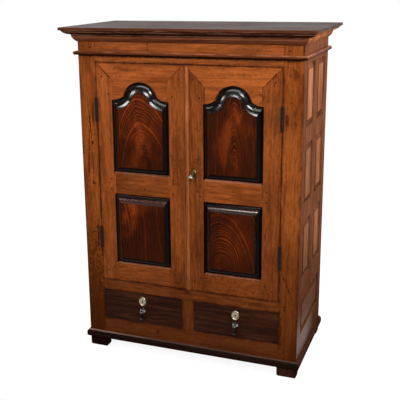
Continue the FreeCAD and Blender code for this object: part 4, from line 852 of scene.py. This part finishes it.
# Hinges. Forged iron leaves, let into post and stile and rolled into knuckles about a pin with a ball end.
# They are black with oil.
HINGE_ARRIS, SCRATCH_DEPTH = 0.0003, 0.0002


def metal_finish(name, ground, tarnish, tarnish_share=0.6, dullness=0.4, metallic=1.0, lustre=0.5,
                 scale=160.0):
    """A metal with tarnish in patches, fine scratches and an uneven polish."""
    material = bpy.data.materials.new(name)
    material.use_nodes = True
    tree = material.node_tree
    shader = tree.nodes["Principled BSDF"]
    place = place_on(tree)
    patch = between(tree, speckle(tree, place, (scale,) * 3, detail=4, roughness=0.6), 0.38, 0.66)
    fine = speckle(tree, place, (scale * 9,) * 3)
    colour = tinted(tree, product(tree, patch, tarnish_share), pigment(ground), pigment(tarnish))
    tree.links.new(colour, shader.inputs["Base Color"])
    dull = reckon(tree, "ADD", between(tree, patch, 0, 1, dullness - 0.08, dullness + 0.12),
                  product(tree, fine, 0.08))
    tree.links.new(dull, shader.inputs["Roughness"])
    bump = put(tree, "Bump", {"Strength": 0.15, "Distance": SCRATCH_DEPTH, "Height": fine})
    tree.links.new(bump.outputs[0], shader.inputs["Normal"])
    shader.inputs["Metallic"].default_value = metallic
    shader.inputs["Specular IOR Level"].default_value = lustre
    return material


HINGE_IRON = metal_finish("hinge_iron", (0.014, 0.01, 0.008), (0.006, 0.004, 0.003), dullness=0.45,
                          metallic=0.0, lustre=0.1)
for node, body in (("post_hinge_leaves", "carcase"), ("left_door_hinge_leaves", "left_door"),
                   ("right_door_hinge_leaves", "right_door")):
    leaves = worked(node, HINGE_ARRIS, HINGE_IRON)
    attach(leaves, body)


# Lock. An iron lock case on the back of the right door, its bolt, the keeper on the left door, a brass
# keyhole plate pinned to the stile and a steel key.
FITTING_ARRIS = 0.0002
LOCK_IRON = metal_finish("lock_iron", (0.16, 0.14, 0.12), (0.05, 0.03, 0.02), dullness=0.45)
KEY_STEEL = metal_finish("key_steel", (0.5, 0.47, 0.42), (0.2, 0.15, 0.1), tarnish_share=0.5, dullness=0.28)
DOOR_PLATE_BRASS = metal_finish("door_plate_brass", (0.2, 0.13, 0.05), (0.06, 0.04, 0.02), dullness=0.38)
for node, body, finish, slot in (
        ("lock_case", "right_door", LOCK_IRON, "iron"), ("lock_keeper", "left_door", LOCK_IRON, "iron"),
        ("lock_bolt", "lock_bolt", KEY_STEEL, "steel"), ("key", "key", KEY_STEEL, "steel"),
        ("right_door_keyhole_plate", "right_door", DOOR_PLATE_BRASS, "brass")):
    fitting = worked(node, FITTING_ARRIS, finish)
    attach(fitting, body)


# Drawers. Fronts of dark rosewood with sides, back and bottom of a plain wood, and an iron lock, an oval
# brass keyhole plate and the pull's mount on each front.
DRAWER_FRONT_ARRIS, DRAWER_SIDE_ARRIS = 0.0011, 0.0007
PLATE_FOOT, BACK_OF_FRONT = 0.1695, -0.13
# dark halos about the pulls on the drawer fronts
DRAWER_PULL_HALOS = tuple(mark(x, 0.148, 0.03, 0.03, 0.8) for x in (-DRAWER_MIDDLE, DRAWER_MIDDLE))
FRONT_ROSEWOOD = wood_finish("front_rosewood", early=(0.024, 0.008, 0.005), late=(0.085, 0.025, 0.011),
                             streak=(0.006, 0.0026, 0.002), ring_width=0.011, wander=0.05, ring_share=0.6,
                             streak_share=0.65, dullness=0.4, lustre=0.02, grime=0.25, marks=DRAWER_PULL_HALOS)
PLATE_BRASS = metal_finish("plate_brass", (0.43, 0.38, 0.27), (0.12, 0.1, 0.06), dullness=0.3)
MOUNT_IRON = metal_finish("mount_iron", (0.3, 0.29, 0.28), (0.06, 0.055, 0.05), dullness=0.09, scale=420.0)
for side in ("left", "right"):
    drawer = f"{side}_drawer"
    front = worked(f"{drawer}_front", DRAWER_FRONT_ARRIS, FRONT_ROSEWOOD)
    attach(front, drawer)
    for part in ("sides", "bottom"):
        wood = worked(f"{drawer}_{part}", DRAWER_SIDE_ARRIS, INNER_WOOD)
        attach(wood, drawer)
    fittings = worked(f"{drawer}_fittings", FITTING_ARRIS, PLATE_BRASS)
    finish_faces(fittings, (MOUNT_IRON,),
                 lambda face: face.center.z < PLATE_FOOT or face.center.y > BACK_OF_FRONT)
    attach(fittings, drawer)


# Drop pulls. Turned pear-shaped drops of dark metal, each hung on a pin in the rosette of its drawer
# front, so that it swings. Handling keeps them polished.
PULL_IRON = metal_finish("pull_iron", (0.07, 0.06, 0.055), (0.01, 0.008, 0.006), tarnish_share=0.9,
                         dullness=0.18)
for side in ("left", "right"):
    drop = worked(f"{side}_drawer_drop", FITTING_ARRIS, PULL_IRON)
    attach(drop, f"{side}_pull")


# Studio. A floor that is white about the cabinet and dark towards the camera, a world that is white behind
# the cabinet and dim in front of it, a key light at the right, a wide soft box overhead and three small ones.
FLOOR_SIZE, FLOOR_CUTS = 16, 6
DARK_FLOOR, WHITE_FLOOR = -0.75, -0.48
bpy.ops.object.select_all(action="DESELECT")
bpy.ops.mesh.primitive_plane_add(size=FLOOR_SIZE)
floor = bpy.context.active_object
floor.name = "studio_floor"
bpy.ops.object.mode_set(mode="EDIT")
bpy.ops.mesh.subdivide(number_cuts=FLOOR_CUTS)
bpy.ops.object.mode_set(mode="OBJECT")
paper = bpy.data.materials.new("floor_paper")
paper.use_nodes = True
tree = paper.node_tree
paleness = between(tree, parts_of(tree, place_on(tree))["Y"], DARK_FLOOR, WHITE_FLOOR, 0.03, 1.0)
paper_colour = put(tree, "CombineColor", {0: paleness, 1: paleness, 2: paleness}).outputs[0]
seen = put(tree, "LightPath").outputs
looked_at = reckon(tree, "MAXIMUM", reckon(tree, "MAXIMUM", seen["Is Camera Ray"], seen["Is Glossy Ray"]),
                   seen["Is Transmission Ray"])
shader = tree.nodes["Principled BSDF"]
shader.inputs["Roughness"].default_value = 0.9
shader.inputs["Specular IOR Level"].default_value = 0.1
shader.inputs["Base Color"].default_value = (0.2, 0.2, 0.2, 1)
tree.links.new(paper_colour, shader.inputs["Emission Color"])
tree.links.new(product(tree, looked_at, 0.9), shader.inputs["Emission Strength"])
floor.data.materials.append(paper)

world = bpy.data.worlds.new("studio")
bpy.context.scene.world = world
world.use_nodes = True
tree = world.node_tree
way = parts_of(tree, put(tree, "TexCoord").outputs["Generated"])["Y"]
tree.links.new(between(tree, way, -0.1, 0.5, 0.07, 1.0), tree.nodes["Background"].inputs["Strength"])
tree.nodes["Background"].inputs["Color"].default_value = (1, 1, 1, 1)


def soft_box(name, place, target, width, height, power):
    """A soft box at a place, facing a target."""
    lamp = bpy.data.lights.new(name, "AREA")
    lamp.shape, lamp.size, lamp.size_y, lamp.energy = "RECTANGLE", width, height, power
    box = bpy.data.objects.new(name, lamp)
    box.location = place
    box.rotation_euler = (Vector(target) - Vector(place)).to_track_quat("-Z", "Y").to_euler()
    bpy.context.scene.collection.objects.link(box)


soft_box("soft_box_key", (0.8, -2.05, 2.1), (0, -0.15, 0.85), width=0.55, height=0.55, power=24)
soft_box("soft_box_overhead", (-0.4, -0.95, 2.7), (-0.1, -0.1, 0.6), width=2.2, height=1.2, power=30)
soft_box("soft_box_left", (-1.6, -1.72, 1.2), (0, -0.15, 0.8), width=0.5, height=0.36, power=11)
soft_box("soft_box_middle", (-0.36, -2.5, 1.22), (0, -0.15, 0.8), width=0.5, height=0.34, power=12)
soft_box("soft_box_right", (1.45, -0.5, 1.4), (0.36, 0, 0.9), width=0.4, height=0.4, power=24)


# Camera. It stands where the edges of the cabinet's front and right side put it in the photograph, to the
# right and a little above the top board, and its shift gives the photograph's framing.
EYE = (0.7945, -2.2489, 1.2077)
YAW, PITCH, ROLL = 21.13, 14.66, 0.73
view = bpy.data.cameras.new("photo_camera")
view.sensor_width, view.lens = 36, 67.98
view.shift_x, view.shift_y = 0.0447, -0.0573
camera = bpy.data.objects.new("photo_camera", view)
stand = Matrix.Translation(EYE)
for degrees, axis in ((YAW, "Z"), (90 - PITCH, "X"), (-ROLL, "Z")):
    stand = stand @ Matrix.Rotation(math.radians(degrees), 4, axis)
camera.matrix_world = stand
bpy.context.scene.collection.objects.link(camera)
bpy.context.scene.camera = camera
bpy.context.scene.view_settings.view_transform = "Standard"
